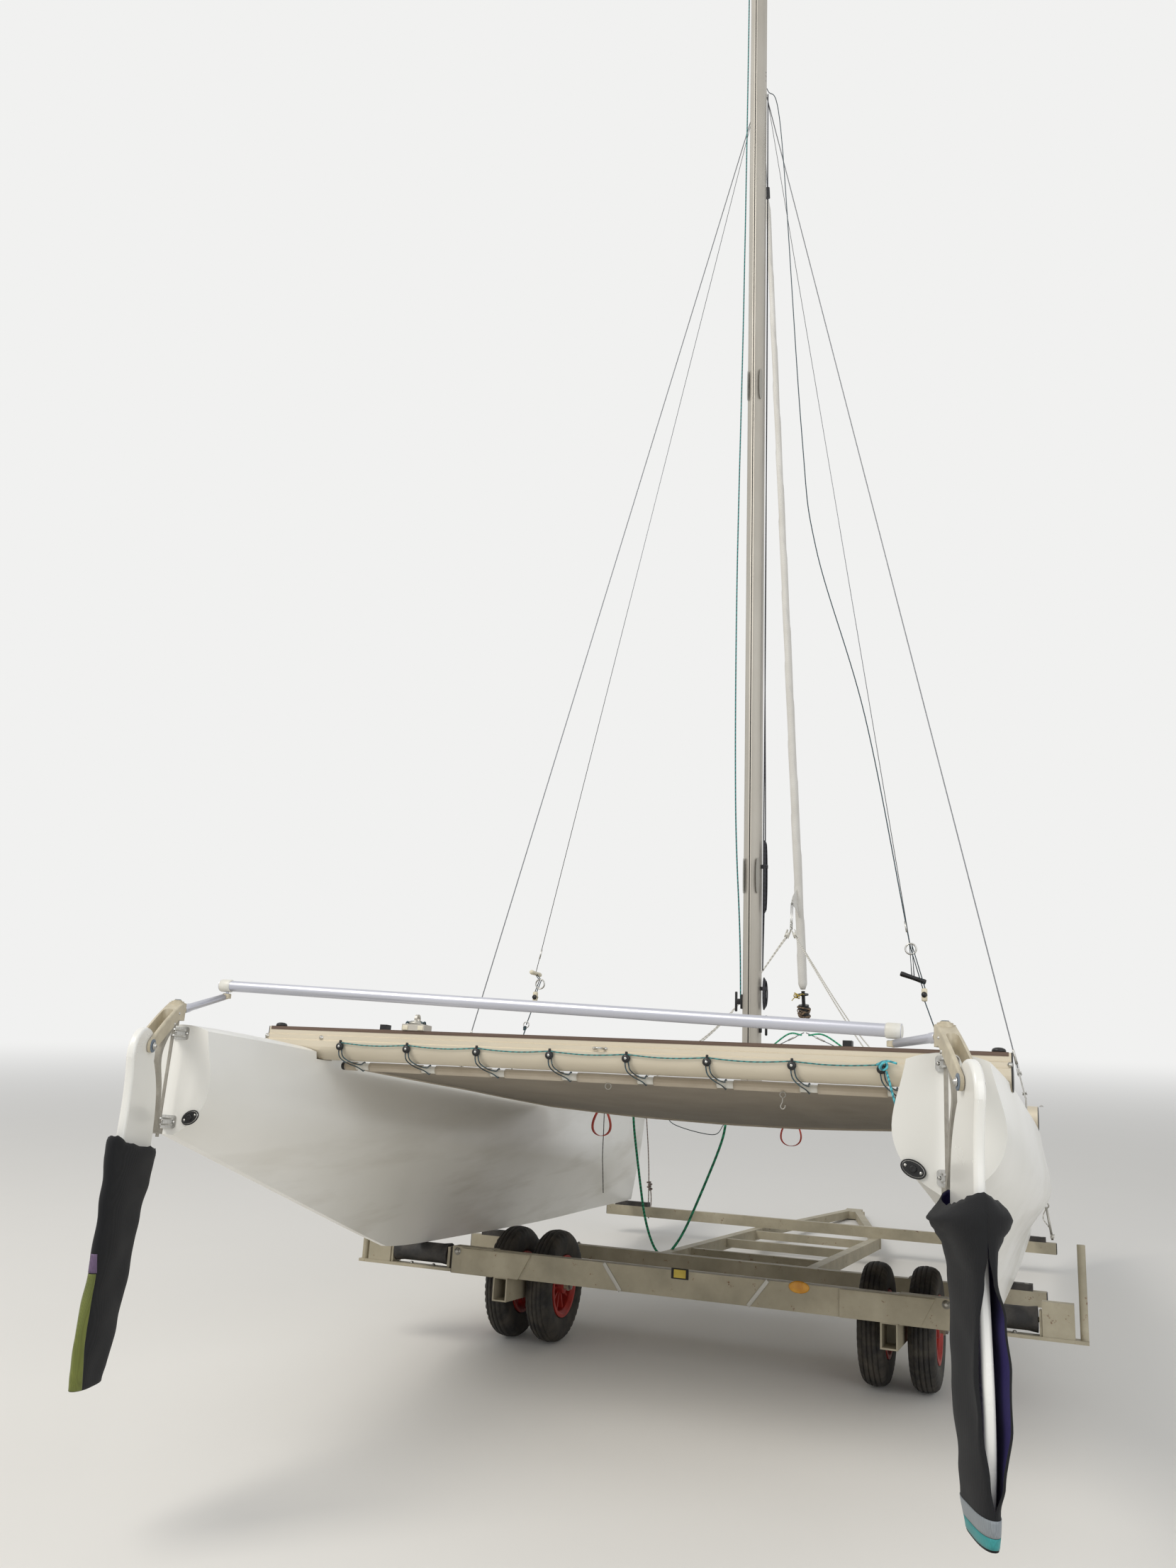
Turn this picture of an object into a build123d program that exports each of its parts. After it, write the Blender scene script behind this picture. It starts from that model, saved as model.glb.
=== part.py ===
from build123d import *
import math
import os

# Beach catamaran parked on a four-wheel launching trolley.
# Millimetres. +X towards the bows, +Y to port, +Z up, origin on the ground under the middle.

# Overall placing
FRAME_SHIFT_X = 2191.2          # middle of the whole length, measured from the transoms
BOAT_PITCH = 7.05               # bows down, degrees
TRANSOM_HEIGHT = 1164.0         # deck edge at the transoms above the ground
TROLLEY_TILT = 6.0              # front of the trolley frame down, degrees
TROLLEY_X = 2050.0              # middle crossbeam, forward of the transoms
TROLLEY_Z = 268.0               # top of the spine rails at the middle crossbeam

# Hulls
HULL_CENTRE_Y = 1005.0
HULL_COLUMNS = ("x", "rake", "crown", "sheer_z", "sheer_w", "full_z", "full_w",
                "tuck_z", "tuck_w", "fin_z", "fin_w", "keel_z", "keel_w")
HEEL_STATION = 4                # row at the after tip of the skeg, where the keel line turns
HULL_STATIONS = (
    (0, 0.00, 6, -10, 86, -165, 116, -232, 88, -264, 52, -283, 20),
    (300, 0.00, 4, -16, 93, -190, 121, -280, 86, -330, 44, -370, 16),
    (650, 0.00, -10, -26, 99, -225, 127, -338, 80, -410, 38, -471, 13),
    (1000, 0.00, -28, -42, 103, -258, 132, -388, 72, -490, 32, -571, 11),
    (1205, 0.00, -38, -52, 105, -274, 135, -408, 68, -528, 29, -627, 10),
    (1330, 0.00, -44, -57, 106, -284, 136, -416, 67, -536, 28, -630, 10),
    (1700, 0.00, -56, -69, 107, -304, 138, -428, 66, -538, 28, -621, 10),
    (2300, 0.04, -74, -86, 103, -316, 135, -438, 60, -534, 26, -604, 9),
    (2900, 0.12, -86, -96, 90, -312, 119, -442, 48, -522, 21, -578, 8),
    (3400, 0.22, -92, -101, 66, -302, 86, -438, 32, -508, 15, -552, 7),
    (3720, 0.29, -95, -103, 38, -294, 48, -432, 18, -496, 10, -538, 5),
    (3895, 0.32, -98, -103, 13, -290, 15, -430, 8, -490, 6, -528, 4),
)

# Beams and trampoline
REAR_BEAM_X = 550.0
REAR_BEAM_TOP = 53.0
REAR_BEAM_HEIGHT = 95.0
REAR_BEAM_HALF_WIDTH = 40.0
SEAT_HALF = 200.0               # reach of the beam seats to either side of a hull's middle
SEAT_GAP = 2.0
BEAM_HALF_LENGTH = 1107.0
MAIN_BEAM_X = 2310.0
MAIN_BEAM_Z = -45.0
MAIN_BEAM_RADIUS = 45.0
HEM_TUBE_X = 612.0
HEM_TUBE_Z = -54.0
HEM_TUBE_RADIUS = 10.5
TRAMP_HALF_WIDTH = 872.0
TRAMP_THICKNESS = 3.0
TRAMP_SAG = 32.0

HATCH_X = 1420.0
HATCH_RADIUS = 62.0
HATCH_TOP_Z = -30.0

# Mast and rig
MAST_FOOT_X = 2310.0
MAST_FOOT_Z = 34.0
MAST_RAKE = 4.77                # aft of square to the deck, degrees
MAST_LENGTH = 6380.0
MAST_CHORD = 112.0
MAST_WIDTH = 74.0
HOUNDS_HEIGHT = 4800.0          # up the mast
STAY_STANDOFF = 84.0            # stays meet this far ahead of the mast's turning line
CHAINPLATE_X = 1812.0
CHAINPLATE_Y = 1086.0
CHAINPLATE_FOOT_Z = 6.0
SHROUD_LEAN = 12.6              # inboard, degrees
ADJUSTER_LENGTH = 98.0
ADJUSTER_HOLES = 5
ADJUSTER_PITCH = 17.0
ADJUSTER_HOLE_RADIUS = 4.0
SHROUD_RADIUS = 2.2
DRUM_X = 3330.0
DRUM_Z = 455.0
BRIDLE_BOW_X = 3800.0

# Rudders
PINTLE_X = -36.0
UPPER_EYE_Z = -18.0
LOWER_EYE_Z = -250.0
PINTLE_RADIUS = 4.5
RUDDER_ANGLE = 19.4             # both rudders lie turned this way at rest, degrees
BUNG_INBOARD = 72.0
BUNG_Z = -236.0
EAR_HALF_GAP = 6.0
EAR_THICKNESS = 4.0
EYE_RADIUS = 11.0
STOCK_TOP_Z = 14.0
STOCK_FOOT_Z = -282.0
STOCK_BULGE = 88.0              # how far the bar bows aft of the pintle
STOCK_WIDTH = 16.0
HEAD_TOP_Z = 60.0
HEAD_WIDTH = 42.0
CHEEK_GAP = 2.0                 # each side of the blade
CHEEK_END_RADIUS = 17.0
BLADE_PIVOT_X = -216.0
BLADE_PIVOT_Z = -66.0
BLADE_PIN_RADIUS = 7.0
BLADE_THICKNESS = 22.0
BLADE_TIP_Z = -828.0
BLADE_EDGE = ("x", "z")         # from the blade's pivot
BLADE_FRONT = ((54, -34), (115, -154), (123, -224), (118, -334), (106, -494), (84, -634), (58, -734))
BLADE_BACK = ((-78, -742), (-92, -674), (-82, -414), (-66, -234), (-68, -104), (-83, -34))
COVER_COLUMNS = ("z", "front", "back", "half_width")
COVER_ROWS = ((-312, 150, -112, 32), (-400, 148, -104, 24), (-480, 130, -101, 20),
              (-600, 114, -103, 20), (-730, 92, -120, 20), (-852, 54, -114, 18))
TILLER_ARM = 175.0
TILLER_SPREAD = 27.0            # arms turned inboard of the blades' line, degrees
TILLER_TIP_PORT_Z = 100.0
TILLER_TIP_STARBOARD_Z = 27.0
CROSSBAR_RADIUS = 15.0
CROSSBAR_LIFT = 29.0            # bar above the ends of the arms
CROSSBAR_OVERHANG = 22.0
CROSSBAR_CAP_RADIUS = 17.0

# Traveller
TRAVELLER_Y = 592.0
TRACK_STOP_Y = 700.0

# Trolley
BEAM_TUBE = 50.0                # square tube of the middle and front crossbeams and the spine
REAR_CROSS_HEIGHT = 85.0
REAR_CROSS_X = -654.0
REAR_CROSS_HALF = 868.0
HANGER_HALF_WIDTH = 27.0
HANGER_DEPTH = 80.0
HANGER_WALL = 5.0
CROSS_HALF = 1120.0
FRONT_CROSS_X = 1599.0
SPINE_HALF_GAUGE = 290.0
RUNG_XS = (330.0, 880.0, 1420.0)
PAD_THICKNESS = 24.0
ROLLER_X = -640.0
ROLLER_Z = -12.0
ROLLER_RADIUS = 34.0
ROLLER_HALF = 108.0
DRAWBAR_NOSE_X = 4700.0
DRAWBAR_TUBE = 40.0

# Wheels
WHEEL_X = 1672.0
WHEEL_RADIUS = 195.0
WHEEL_PAIR_Y = 673.0
WHEEL_OFFSET = 81.0
TYRE_WIDTH = 88.0
RIM_RADIUS = 101.0
RIM_WIDTH = 76.0
AXLE_RADIUS = 10.0
BORE_CLEARANCE = 0.6
SPOKES = 10

SHIFT = Location((-FRAME_SHIFT_X, 0, 0))
BOAT = SHIFT * Location((0, 0, TRANSOM_HEIGHT)) * Location((0, 0, 0), (0, BOAT_PITCH, 0))
TROLLEY = SHIFT * Location((TROLLEY_X, 0, TROLLEY_Z)) * Location((0, 0, 0), (0, TROLLEY_TILT, 0))
MAST = BOAT * Location((MAST_FOOT_X, 0, MAST_FOOT_Z)) * Location((0, 0, 0), (0, -MAST_RAKE, 0))


def block(x0, x1, y0, y1, z0, z1):
    """Square-cornered block between two corners."""
    return Pos((x0 + x1) / 2, (y0 + y1) / 2, (z0 + z1) / 2) * Box(x1 - x0, y1 - y0, z1 - z0)


def rod(start, end, radius):
    """Round rod from one point to another."""
    a, b = Vector(*start), Vector(*end)
    plane = Plane(origin=a, z_dir=(b - a).normalized())
    return Solid.make_cylinder(radius, (b - a).length, plane)


def tapered_rod(start, end, radius_start, radius_end):
    a, b = Vector(*start), Vector(*end)
    plane = Plane(origin=a, z_dir=(b - a).normalized())
    return Solid.make_cone(radius_start, radius_end, (b - a).length, plane)


def square_bar(start, end, width, height):
    """Square tube outline between two points, its width level."""
    a, b = Vector(*start), Vector(*end)
    along = (b - a).normalized()
    level = Vector(0, 0, 1).cross(along).normalized()
    plane = Plane(origin=a, x_dir=level, z_dir=along)
    return extrude(plane * Rectangle(width, height), (b - a).length)


def y_cylinder(x, y0, y1, z, radius):
    return rod((x, y0, z), (x, y1, z), radius)


def slab_y(face, y0, y1):
    """Face standing fore and aft, drawn out sideways from y0 to y1."""
    return Pos(0, y0, 0) * extrude(face, y1 - y0, dir=(0, 1, 0))


def plate_y(points, y0, y1):
    """Flat plate standing fore and aft, its outline given in x and z."""
    return slab_y(make_face(Plane.XZ * Polyline(*points, close=True)), y0, y1)


def ring_y(x, y0, y1, z, outer, inner):
    return y_cylinder(x, y0, y1, z, outer) - y_cylinder(x, y0 - 1, y1 + 1, z, inner)


def station_face(row):
    """One hull section, leaning forward towards the bow."""
    s = dict(zip(HULL_COLUMNS, row))

    def at(side, w, z):
        return (s["x"] + s["rake"] * (z - s["sheer_z"]), side * w, z)

    levels = [(s["keel_w"], s["keel_z"]), (s["fin_w"], s["fin_z"]), (s["tuck_w"], s["tuck_z"]),
              (s["full_w"], s["full_z"]),
              ((s["full_w"] + s["sheer_w"]) / 2 + 0.04 * s["full_w"], (s["full_z"] + s["sheer_z"]) / 2),
              (s["sheer_w"], s["sheer_z"])]
    left = Spline(*[at(1, w, z) for w, z in levels])
    right = Spline(*[at(-1, w, z) for w, z in levels])
    deck = ThreePointArc(at(1, s["sheer_w"], s["sheer_z"]), at(0, 0, s["crown"]),
                         at(-1, s["sheer_w"], s["sheer_z"]))
    keel = Line(at(-1, s["keel_w"], s["keel_z"]), at(1, s["keel_w"], s["keel_z"]))
    return make_face(Curve() + [left, deck, right, keel])


def hull(side):
    """Skeg-keeled hull with the beam seats let into its deck."""
    faces = [station_face(row) for row in HULL_STATIONS]
    aft = loft(faces[:HEEL_STATION + 1])
    fore = loft(faces[HEEL_STATION:])
    shape = aft + fore
    shape = Pos(0, side * HULL_CENTRE_Y, 0) * shape
    y0, y1 = side * HULL_CENTRE_Y - SEAT_HALF, side * HULL_CENTRE_Y + SEAT_HALF
    for x, half, top, depth in ((REAR_BEAM_X, REAR_BEAM_HALF_WIDTH, REAR_BEAM_TOP, REAR_BEAM_HEIGHT),
                                (MAIN_BEAM_X, MAIN_BEAM_RADIUS, MAIN_BEAM_Z + MAIN_BEAM_RADIUS,
                                 2 * MAIN_BEAM_RADIUS)):
        half += SEAT_GAP
        shape -= block(x - half, x + half, y0, y1, top - depth - SEAT_GAP / 2, top + depth)
    return BOAT * shape


def rear_beam_outline(slotted):
    """Half round below, stepped above, with a track slot along the top."""
    top, half, low = REAR_BEAM_TOP, REAR_BEAM_HALF_WIDTH, REAR_BEAM_TOP - REAR_BEAM_HEIGHT
    side = top - REAR_BEAM_HEIGHT + 37
    right = [(half, side), (half, top - 41), (half - 10, top - 37), (half - 10, top - 25),
             (half - 22, top - 21), (half - 22, top)]
    slot = [(5, top), (5, top - 8), (11, top - 8), (11, top - 15)] if slotted else []
    points = right + slot
    mirrored = [(-x, z) for x, z in reversed(points)]
    path = Polyline(*(points + mirrored))
    belly = ThreePointArc((-half, side), (0, low), (half, side))
    return make_face(Plane.XZ * (Curve() + [path, belly]))


def rear_beam():
    end = BEAM_HALF_LENGTH
    body = slab_y(rear_beam_outline(True), 6 - end, end - 6)
    body += slab_y(rear_beam_outline(False), end - 6, end)
    body += slab_y(rear_beam_outline(False), -end, 6 - end)
    return BOAT * Pos(REAR_BEAM_X, 0, 0) * body


def main_beam():
    tube = y_cylinder(MAIN_BEAM_X, -BEAM_HALF_LENGTH, BEAM_HALF_LENGTH, MAIN_BEAM_Z, MAIN_BEAM_RADIUS)
    return BOAT * tube


def hem_tube():
    return BOAT * y_cylinder(HEM_TUBE_X, -TRAMP_HALF_WIDTH + 4, TRAMP_HALF_WIDTH - 4, HEM_TUBE_Z,
                             HEM_TUBE_RADIUS)


def tramp_section(x, z, sag):
    w, t = TRAMP_HALF_WIDTH, TRAMP_THICKNESS
    upper = ThreePointArc((x, -w, z), (x, 0, z - sag), (x, w, z))
    lower = ThreePointArc((x, w, z - t), (x, 0, z - t - sag), (x, -w, z - t))
    return make_face(Curve() + [upper, Line((x, w, z), (x, w, z - t)), lower,
                                Line((x, -w, z - t), (x, -w, z))])


def trampoline():
    start = HEM_TUBE_X + HEM_TUBE_RADIUS + 1
    end = MAIN_BEAM_X - MAIN_BEAM_RADIUS - 2
    return BOAT * loft([tramp_section(start, HEM_TUBE_Z + 2, 2), tramp_section(end, -100, TRAMP_SAG)],
                       ruled=True)


def gudgeon(side, z):
    """Pair of ears with eyes for the pintle, on a rounded transom plate."""
    y = side * HULL_CENTRE_Y
    plate = Plane(origin=(0, y, z), x_dir=(0, 1, 0), z_dir=(-1, 0, 0)) * RectangleRounded(50, 34, 8)
    shape = extrude(plate, EAR_THICKNESS)
    flank = make_face(Polyline((PINTLE_X, y - EYE_RADIUS), (-2, y - EYE_RADIUS - 6), (-2, y + EYE_RADIUS + 6),
                               (PINTLE_X, y + EYE_RADIUS), close=True))
    outline = flank + Pos(PINTLE_X, y) * Circle(EYE_RADIUS)
    for low in (z + EAR_HALF_GAP, z - EAR_HALF_GAP - EAR_THICKNESS):
        shape += Pos(0, 0, low) * extrude(outline, EAR_THICKNESS)
    return shape - Pos(PINTLE_X, y, z) * Cylinder(PINTLE_RADIUS + BORE_CLEARANCE, 40)


def transom_fittings(side):
    """Upper and lower gudgeon and the oval drain bung."""
    upper = gudgeon(side, UPPER_EYE_Z)
    lower = gudgeon(side, LOWER_EYE_Z)
    lean = math.radians(-25 * side)
    bung_face = Plane(origin=(0, side * (HULL_CENTRE_Y - BUNG_INBOARD), BUNG_Z),
                      x_dir=(0, math.cos(lean), math.sin(lean)), z_dir=(-1, 0, 0)) * Ellipse(26, 16)
    bung = chamfer(extrude(bung_face, 6).faces().sort_by(Axis.X)[0].edges(), 2)
    vent = extrude(bung_face.face().center_location * Circle(7), 9)
    return BOAT * Compound(children=[upper, lower, bung + vent])


def chainplates(hulls):
    """Strap standing on each deck and a drilled adjuster plate for the shroud."""
    shapes = []
    for side, shell in hulls.items():
        place = Pos(CHAINPLATE_X, side * CHAINPLATE_Y, 0)
        foot = block(-24, 24, -10, 10, -90, -54)
        strap = block(-11, 11, -3, 3, -90, CHAINPLATE_FOOT_Z)
        top = CHAINPLATE_FOOT_Z + ADJUSTER_LENGTH
        plate = block(-12, 12, -2.5, 2.5, CHAINPLATE_FOOT_Z, top)
        for i in range(ADJUSTER_HOLES):
            z = CHAINPLATE_FOOT_Z + 14 + ADJUSTER_PITCH * i
            plate -= y_cylinder(0, -6, 6, z, ADJUSTER_HOLE_RADIUS)
        plate = Rot(side * SHROUD_LEAN, 0, 0) * plate
        whole = BOAT * place * (foot + strap + plate)
        shapes.append(whole - shell)
    return Compound(children=shapes)


def stay_point():
    """Where the stays meet, in the boat's own frame."""
    rake = math.radians(MAST_RAKE)
    x = MAST_FOOT_X - HOUNDS_HEIGHT * math.sin(rake) + STAY_STANDOFF * math.cos(rake)
    z = MAST_FOOT_Z + HOUNDS_HEIGHT * math.cos(rake) + STAY_STANDOFF * math.sin(rake)
    return (x, 0.0, z)


def shroud_foot(side):
    lean = math.radians(SHROUD_LEAN)
    up = CHAINPLATE_FOOT_Z + ADJUSTER_LENGTH + 2
    return (CHAINPLATE_X, side * (CHAINPLATE_Y - up * math.sin(lean)), up * math.cos(lean))


def shroud(side):
    x, y, z = stay_point()
    return BOAT * rod(shroud_foot(side), (x, side * 9.0, z), SHROUD_RADIUS)


def forestay_at(fraction):
    """Point on the forestay, 0 at the hounds and 1 at the drum."""
    x, y, z = stay_point()
    return (x + (DRUM_X - x) * fraction, 0.0, z + (DRUM_Z - z) * fraction)


def forestay():
    """The bare wire above the rolled jib and the link below the drum."""
    top = rod(forestay_at(0.004), forestay_at(0.107), SHROUD_RADIUS)
    link = rod(forestay_at(1.009), forestay_at(1.022), 4.0)
    return BOAT * Compound(children=[top, link])


def bridle(side):
    x, y, z = forestay_at(1.026)
    start = (x, side * 5.0, z)
    end = (BRIDLE_BOW_X, side * (HULL_CENTRE_Y - 8), -84)
    return BOAT * rod(start, end, SHROUD_RADIUS)


def jib_roll():
    return BOAT * tapered_rod(forestay_at(0.979), forestay_at(0.122), 23.0, 12.0)


def furler():
    """Furling drum below the roll and the swivel above it."""
    drum = rod(forestay_at(0.996), forestay_at(1.0085), 26.0)
    drum += rod(forestay_at(0.981), forestay_at(0.997), 9.0)
    drum += rod(forestay_at(0.984), forestay_at(0.9855), 26.0)
    swivel = rod(forestay_at(0.109), forestay_at(0.120), 13.0)
    return BOAT * Compound(children=[drum, swivel])


def mast_step():
    """Plinth and ball on the main beam."""
    plinth = block(MAST_FOOT_X - 45, MAST_FOOT_X + 45, -34, 34, -14, 12)
    plinth -= y_cylinder(MAIN_BEAM_X, -60, 60, MAIN_BEAM_Z, MAIN_BEAM_RADIUS)
    plinth += Pos(MAST_FOOT_X, 0, 18) * Cylinder(14, 14)
    return BOAT * plinth


def mast_section(chord, width):
    """Pear-shaped section, rounder in front, with the luff groove behind."""
    a, b = chord / 2, width / 2
    nose = Spline((0.12 * a, b), (0.72 * a, 0.72 * b), (a, 0), (0.72 * a, -0.72 * b), (0.12 * a, -b))
    left = Spline((0.12 * a, b), (-0.45 * a, 0.86 * b), (-0.93 * a, 9), tangents=((-1, 0), (-0.8, -0.6)))
    right = Spline((0.12 * a, -b), (-0.45 * a, -0.86 * b), (-0.93 * a, -9), tangents=((-1, 0), (-0.8, 0.6)))
    tail = Polyline((-0.93 * a, 9), (-a, 7), (-a, 2), (-a + 9, 2), (-a + 9, 5), (-a + 17, 5),
                    (-a + 17, -5), (-a + 9, -5), (-a + 9, -2), (-a, -2), (-a, -7), (-0.93 * a, -9))
    return make_face(Curve() + [nose, left, tail, right])


def mast_tube():
    return MAST * Pos(0, 0, 40) * extrude(mast_section(MAST_CHORD, MAST_WIDTH), MAST_LENGTH - 40)


def mast_fittings():
    """Foot casting, hounds tang and masthead crane."""
    foot = extrude(mast_section(MAST_CHORD + 8, MAST_WIDTH + 8), 40)
    foot -= Cylinder(17, 30)
    tang = block(MAST_CHORD / 2 - 8, MAST_CHORD / 2 + 12, -10, 10, HOUNDS_HEIGHT - 45, HOUNDS_HEIGHT + 20)
    tang -= Pos(0, 0, HOUNDS_HEIGHT - 60) * extrude(mast_section(MAST_CHORD, MAST_WIDTH), 100)
    crane = Pos(0, 0, MAST_LENGTH) * extrude(mast_section(MAST_CHORD + 6, MAST_WIDTH + 6), 14)
    crane += block(-MAST_CHORD / 2 - 40, 0, -8, 8, MAST_LENGTH + 2, MAST_LENGTH + 36)
    return MAST * Compound(children=[foot, tang, crane])


def track_stops():
    shapes = []
    for y in (TRACK_STOP_Y, -TRACK_STOP_Y):
        shapes.append(block(REAR_BEAM_X - 13, REAR_BEAM_X + 13, y - 12, y + 12, REAR_BEAM_TOP,
                            REAR_BEAM_TOP + 17))
    return BOAT * Compound(children=shapes)


def traveller_car():
    """Low car over the track with a swivel post for the sheet block."""
    top = REAR_BEAM_TOP
    x, y = REAR_BEAM_X, TRAVELLER_Y
    car = block(x - 24, x + 24, y - 38, y + 38, top + 1.5, top + 20)
    car += Pos(x, y, top + 24) * Cylinder(12, 10)
    car += ring_y(x, y - 4, y + 4, top + 38, 13, 7)
    return BOAT * car


def hatches(hulls):
    """Round screw-in hatch seated on each deck."""
    shapes = []
    for side, shell in hulls.items():
        lid = Pos(HATCH_X, side * HULL_CENTRE_Y, HATCH_TOP_Z - 20) * Cylinder(HATCH_RADIUS, 40)
        rim = Pos(HATCH_X, side * HULL_CENTRE_Y, HATCH_TOP_Z) * Cylinder(HATCH_RADIUS - 10, 6)
        grip = Pos(HATCH_X, side * HULL_CENTRE_Y, HATCH_TOP_Z + 2) * Box(70, 8, 8)
        shapes.append(BOAT * (lid - rim + grip) - shell)
    return Compound(children=shapes)


def rudder_place(side):
    """Frame on one pintle line, its x forward along the blade."""
    return BOAT * Location((PINTLE_X, side * HULL_CENTRE_Y, 0), (0, 0, RUDDER_ANGLE))


def tiller_tip(side):
    """Joint at the end of a tiller arm, in the boat's own frame."""
    turn = math.radians(RUDDER_ANGLE - side * TILLER_SPREAD)
    z = TILLER_TIP_PORT_Z if side > 0 else TILLER_TIP_STARBOARD_Z
    return (PINTLE_X + TILLER_ARM * math.cos(turn), side * HULL_CENTRE_Y + TILLER_ARM * math.sin(turn), z)


def rudder_stock(side):
    """Bent bar bowed aft between two eyes, with the pintle rod through them."""
    b, top, foot = STOCK_BULGE, STOCK_TOP_Z, STOCK_FOOT_Z
    outer = Spline((-8, top), (-b + 42, top - 30), (-b, top - 100), (-b + 30, top - 174),
                   (-b + 48, foot + 50), (-8, foot))
    inner = Spline((-8, foot + 14), (-b + 61, foot + 54), (-b + 44, top - 172), (-b + 15, top - 100),
                   (-b + 50, top - 40), (-8, top - 14))
    face = make_face(Plane.XZ * (Curve() + [outer, Line(outer @ 1, inner @ 0), inner,
                                            Line(inner @ 1, outer @ 0)]))
    bar = slab_y(face, -STOCK_WIDTH / 2, STOCK_WIDTH / 2)
    for z in (top - 7, foot + 7):
        bar += Pos(0, 0, z) * Cylinder(EYE_RADIUS + 1, 14)
    return rudder_place(side) * (bar + rod((0, 0, foot - 8), (0, 0, top + 8), PINTLE_RADIUS))


def cheek_outline():
    """Arched arm from the boss down to a round end at the blade's pivot."""
    px, pz, r = BLADE_PIVOT_X - PINTLE_X, BLADE_PIVOT_Z, CHEEK_END_RADIUS
    boss_z = (STOCK_TOP_Z + HEAD_TOP_Z) / 2
    slope = math.atan2(pz - boss_z, px)
    ux, uz = math.cos(slope), math.sin(slope)
    nx, nz = uz, -ux
    mx, mz = px / 2, (pz + boss_z) / 2
    upper_end, lower_end = (px + nx * r, pz + nz * r), (px - nx * r, pz - nz * r)
    upper = ThreePointArc((-10, HEAD_TOP_Z), (mx + nx * (r + 9), mz + nz * (r + 9)), upper_end)
    end = ThreePointArc(upper_end, (px + ux * r, pz + uz * r), lower_end)
    lower = ThreePointArc(lower_end, (mx - nx * (r - 5), mz - nz * (r - 5)), (-24, STOCK_TOP_Z))
    boss = Polyline((-24, STOCK_TOP_Z), (12, STOCK_TOP_Z), (12, HEAD_TOP_Z), (-10, HEAD_TOP_Z))
    return make_face(Plane.XZ * (Curve() + [upper, end, lower, boss]))


def rudder_head(side):
    """Forked casting: boss on the pintle, two arched cheeks for the blade, a round tiller arm."""
    half = HEAD_WIDTH / 2
    fork = slab_y(cheek_outline(), -half, half)
    flanks = fork.faces().sort_by(Axis.Y)
    backs = [flank.edges().sort_by(SortBy.LENGTH)[-1] for flank in (flanks[0], flanks[-1])]
    fork = fillet(backs, 5)
    room = BLADE_THICKNESS / 2 + CHEEK_GAP
    fork -= block(-400, -62, -room, room, -300, 200) + Pos(-62, 0, 0) * Cylinder(room, 400)
    height = HEAD_TOP_Z - STOCK_TOP_Z
    fork += Pos(0, 0, STOCK_TOP_Z + height / 2) * Cylinder(half + 1, height)
    fork += Pos(0, 0, HEAD_TOP_Z + 2) * Cylinder(17, 4) + Pos(0, 0, HEAD_TOP_Z + 5.5) * Cylinder(11, 3)
    fork += y_cylinder(BLADE_PIVOT_X - PINTLE_X, -half - 4, half + 4, BLADE_PIVOT_Z, BLADE_PIN_RADIUS)
    fork = rudder_place(side) * fork
    root = (PINTLE_X, side * HULL_CENTRE_Y, HEAD_TOP_Z - 23)
    x, y, z = tiller_tip(side)
    arm = tapered_rod(root, (x, y, z), 11, 8.5) + Pos(x, y, z) * Cylinder(12, 12)
    arm = BOAT * (arm - Pos(x, y, z) * Cylinder(4 + BORE_CLEARANCE, 40))
    bore = rudder_place(side) * rod((0, 0, STOCK_TOP_Z - 4), (0, 0, STOCK_TOP_Z + 12),
                                    PINTLE_RADIUS + BORE_CLEARANCE)
    return fork + arm - bore


def blade_profile(grow):
    """Blade seen from the side: round head, swept front edge and nearly straight back."""
    px, pz = BLADE_PIVOT_X - PINTLE_X, BLADE_PIVOT_Z
    front = [(px + x + grow, pz + z) for x, z in BLADE_FRONT]
    back = [(px + x - grow, pz + z) for x, z in BLADE_BACK]
    head = ThreePointArc(back[-1], (px - 14, pz + 44 + grow), front[0])
    tip = ThreePointArc(front[-1], (px - 16, BLADE_TIP_Z - grow), back[0])
    return make_face(Plane.XZ * (Curve() + [head, Spline(*front), tip, Spline(*back)]))


def rudder_blade(side):
    half = BLADE_THICKNESS / 2
    shape = slab_y(blade_profile(0), -half, half)
    flanks = shape.faces().sort_by(Axis.Y)
    shape = fillet(flanks[0].edges() + flanks[-1].edges(), 7)
    px, pz = BLADE_PIVOT_X - PINTLE_X, BLADE_PIVOT_Z
    shape -= y_cylinder(px, -20, 20, pz, BLADE_PIN_RADIUS + BORE_CLEARANCE)
    return rudder_place(side) * shape


def rudder_cover(side):
    """Fabric sleeve over the lower blade, flared at its mouth."""
    px = BLADE_PIVOT_X - PINTLE_X
    faces = []
    for z, front, back, half in COVER_ROWS:
        plane = Plane(origin=(px + (front + back) / 2, 0, z), x_dir=(1, 0, 0), z_dir=(0, 0, 1))
        faces.append(plane * RectangleRounded(front - back, 2 * half, half - 1))
    sleeve = loft(faces, ruled=False)
    half = BLADE_THICKNESS / 2 + 1.2
    sleeve -= slab_y(blade_profile(1.5), -half, half)
    return rudder_place(side) * max(sleeve.solids(), key=lambda s: s.volume)


def tiller_crossbar():
    """Tube over the ends of the tiller arms, capped, with the one pivot pin to port."""
    lift = Vector(0, 0, CROSSBAR_LIFT)
    port, starboard = (Vector(*tiller_tip(side)) + lift for side in (1, -1))
    along = (port - starboard).normalized()
    ends = (port + along * CROSSBAR_OVERHANG, starboard - along * CROSSBAR_OVERHANG)
    bar = rod(tuple(ends[0]), tuple(ends[1]), CROSSBAR_RADIUS)
    for end, way in zip(ends, (-1, 1)):
        bar += rod(tuple(end), tuple(end + along * way * 34), CROSSBAR_CAP_RADIUS)
    x, y, z = tiller_tip(1)
    return BOAT * (bar + rod((x, y, z - 8), (x, y, z + CROSSBAR_LIFT), 4.0))


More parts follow.
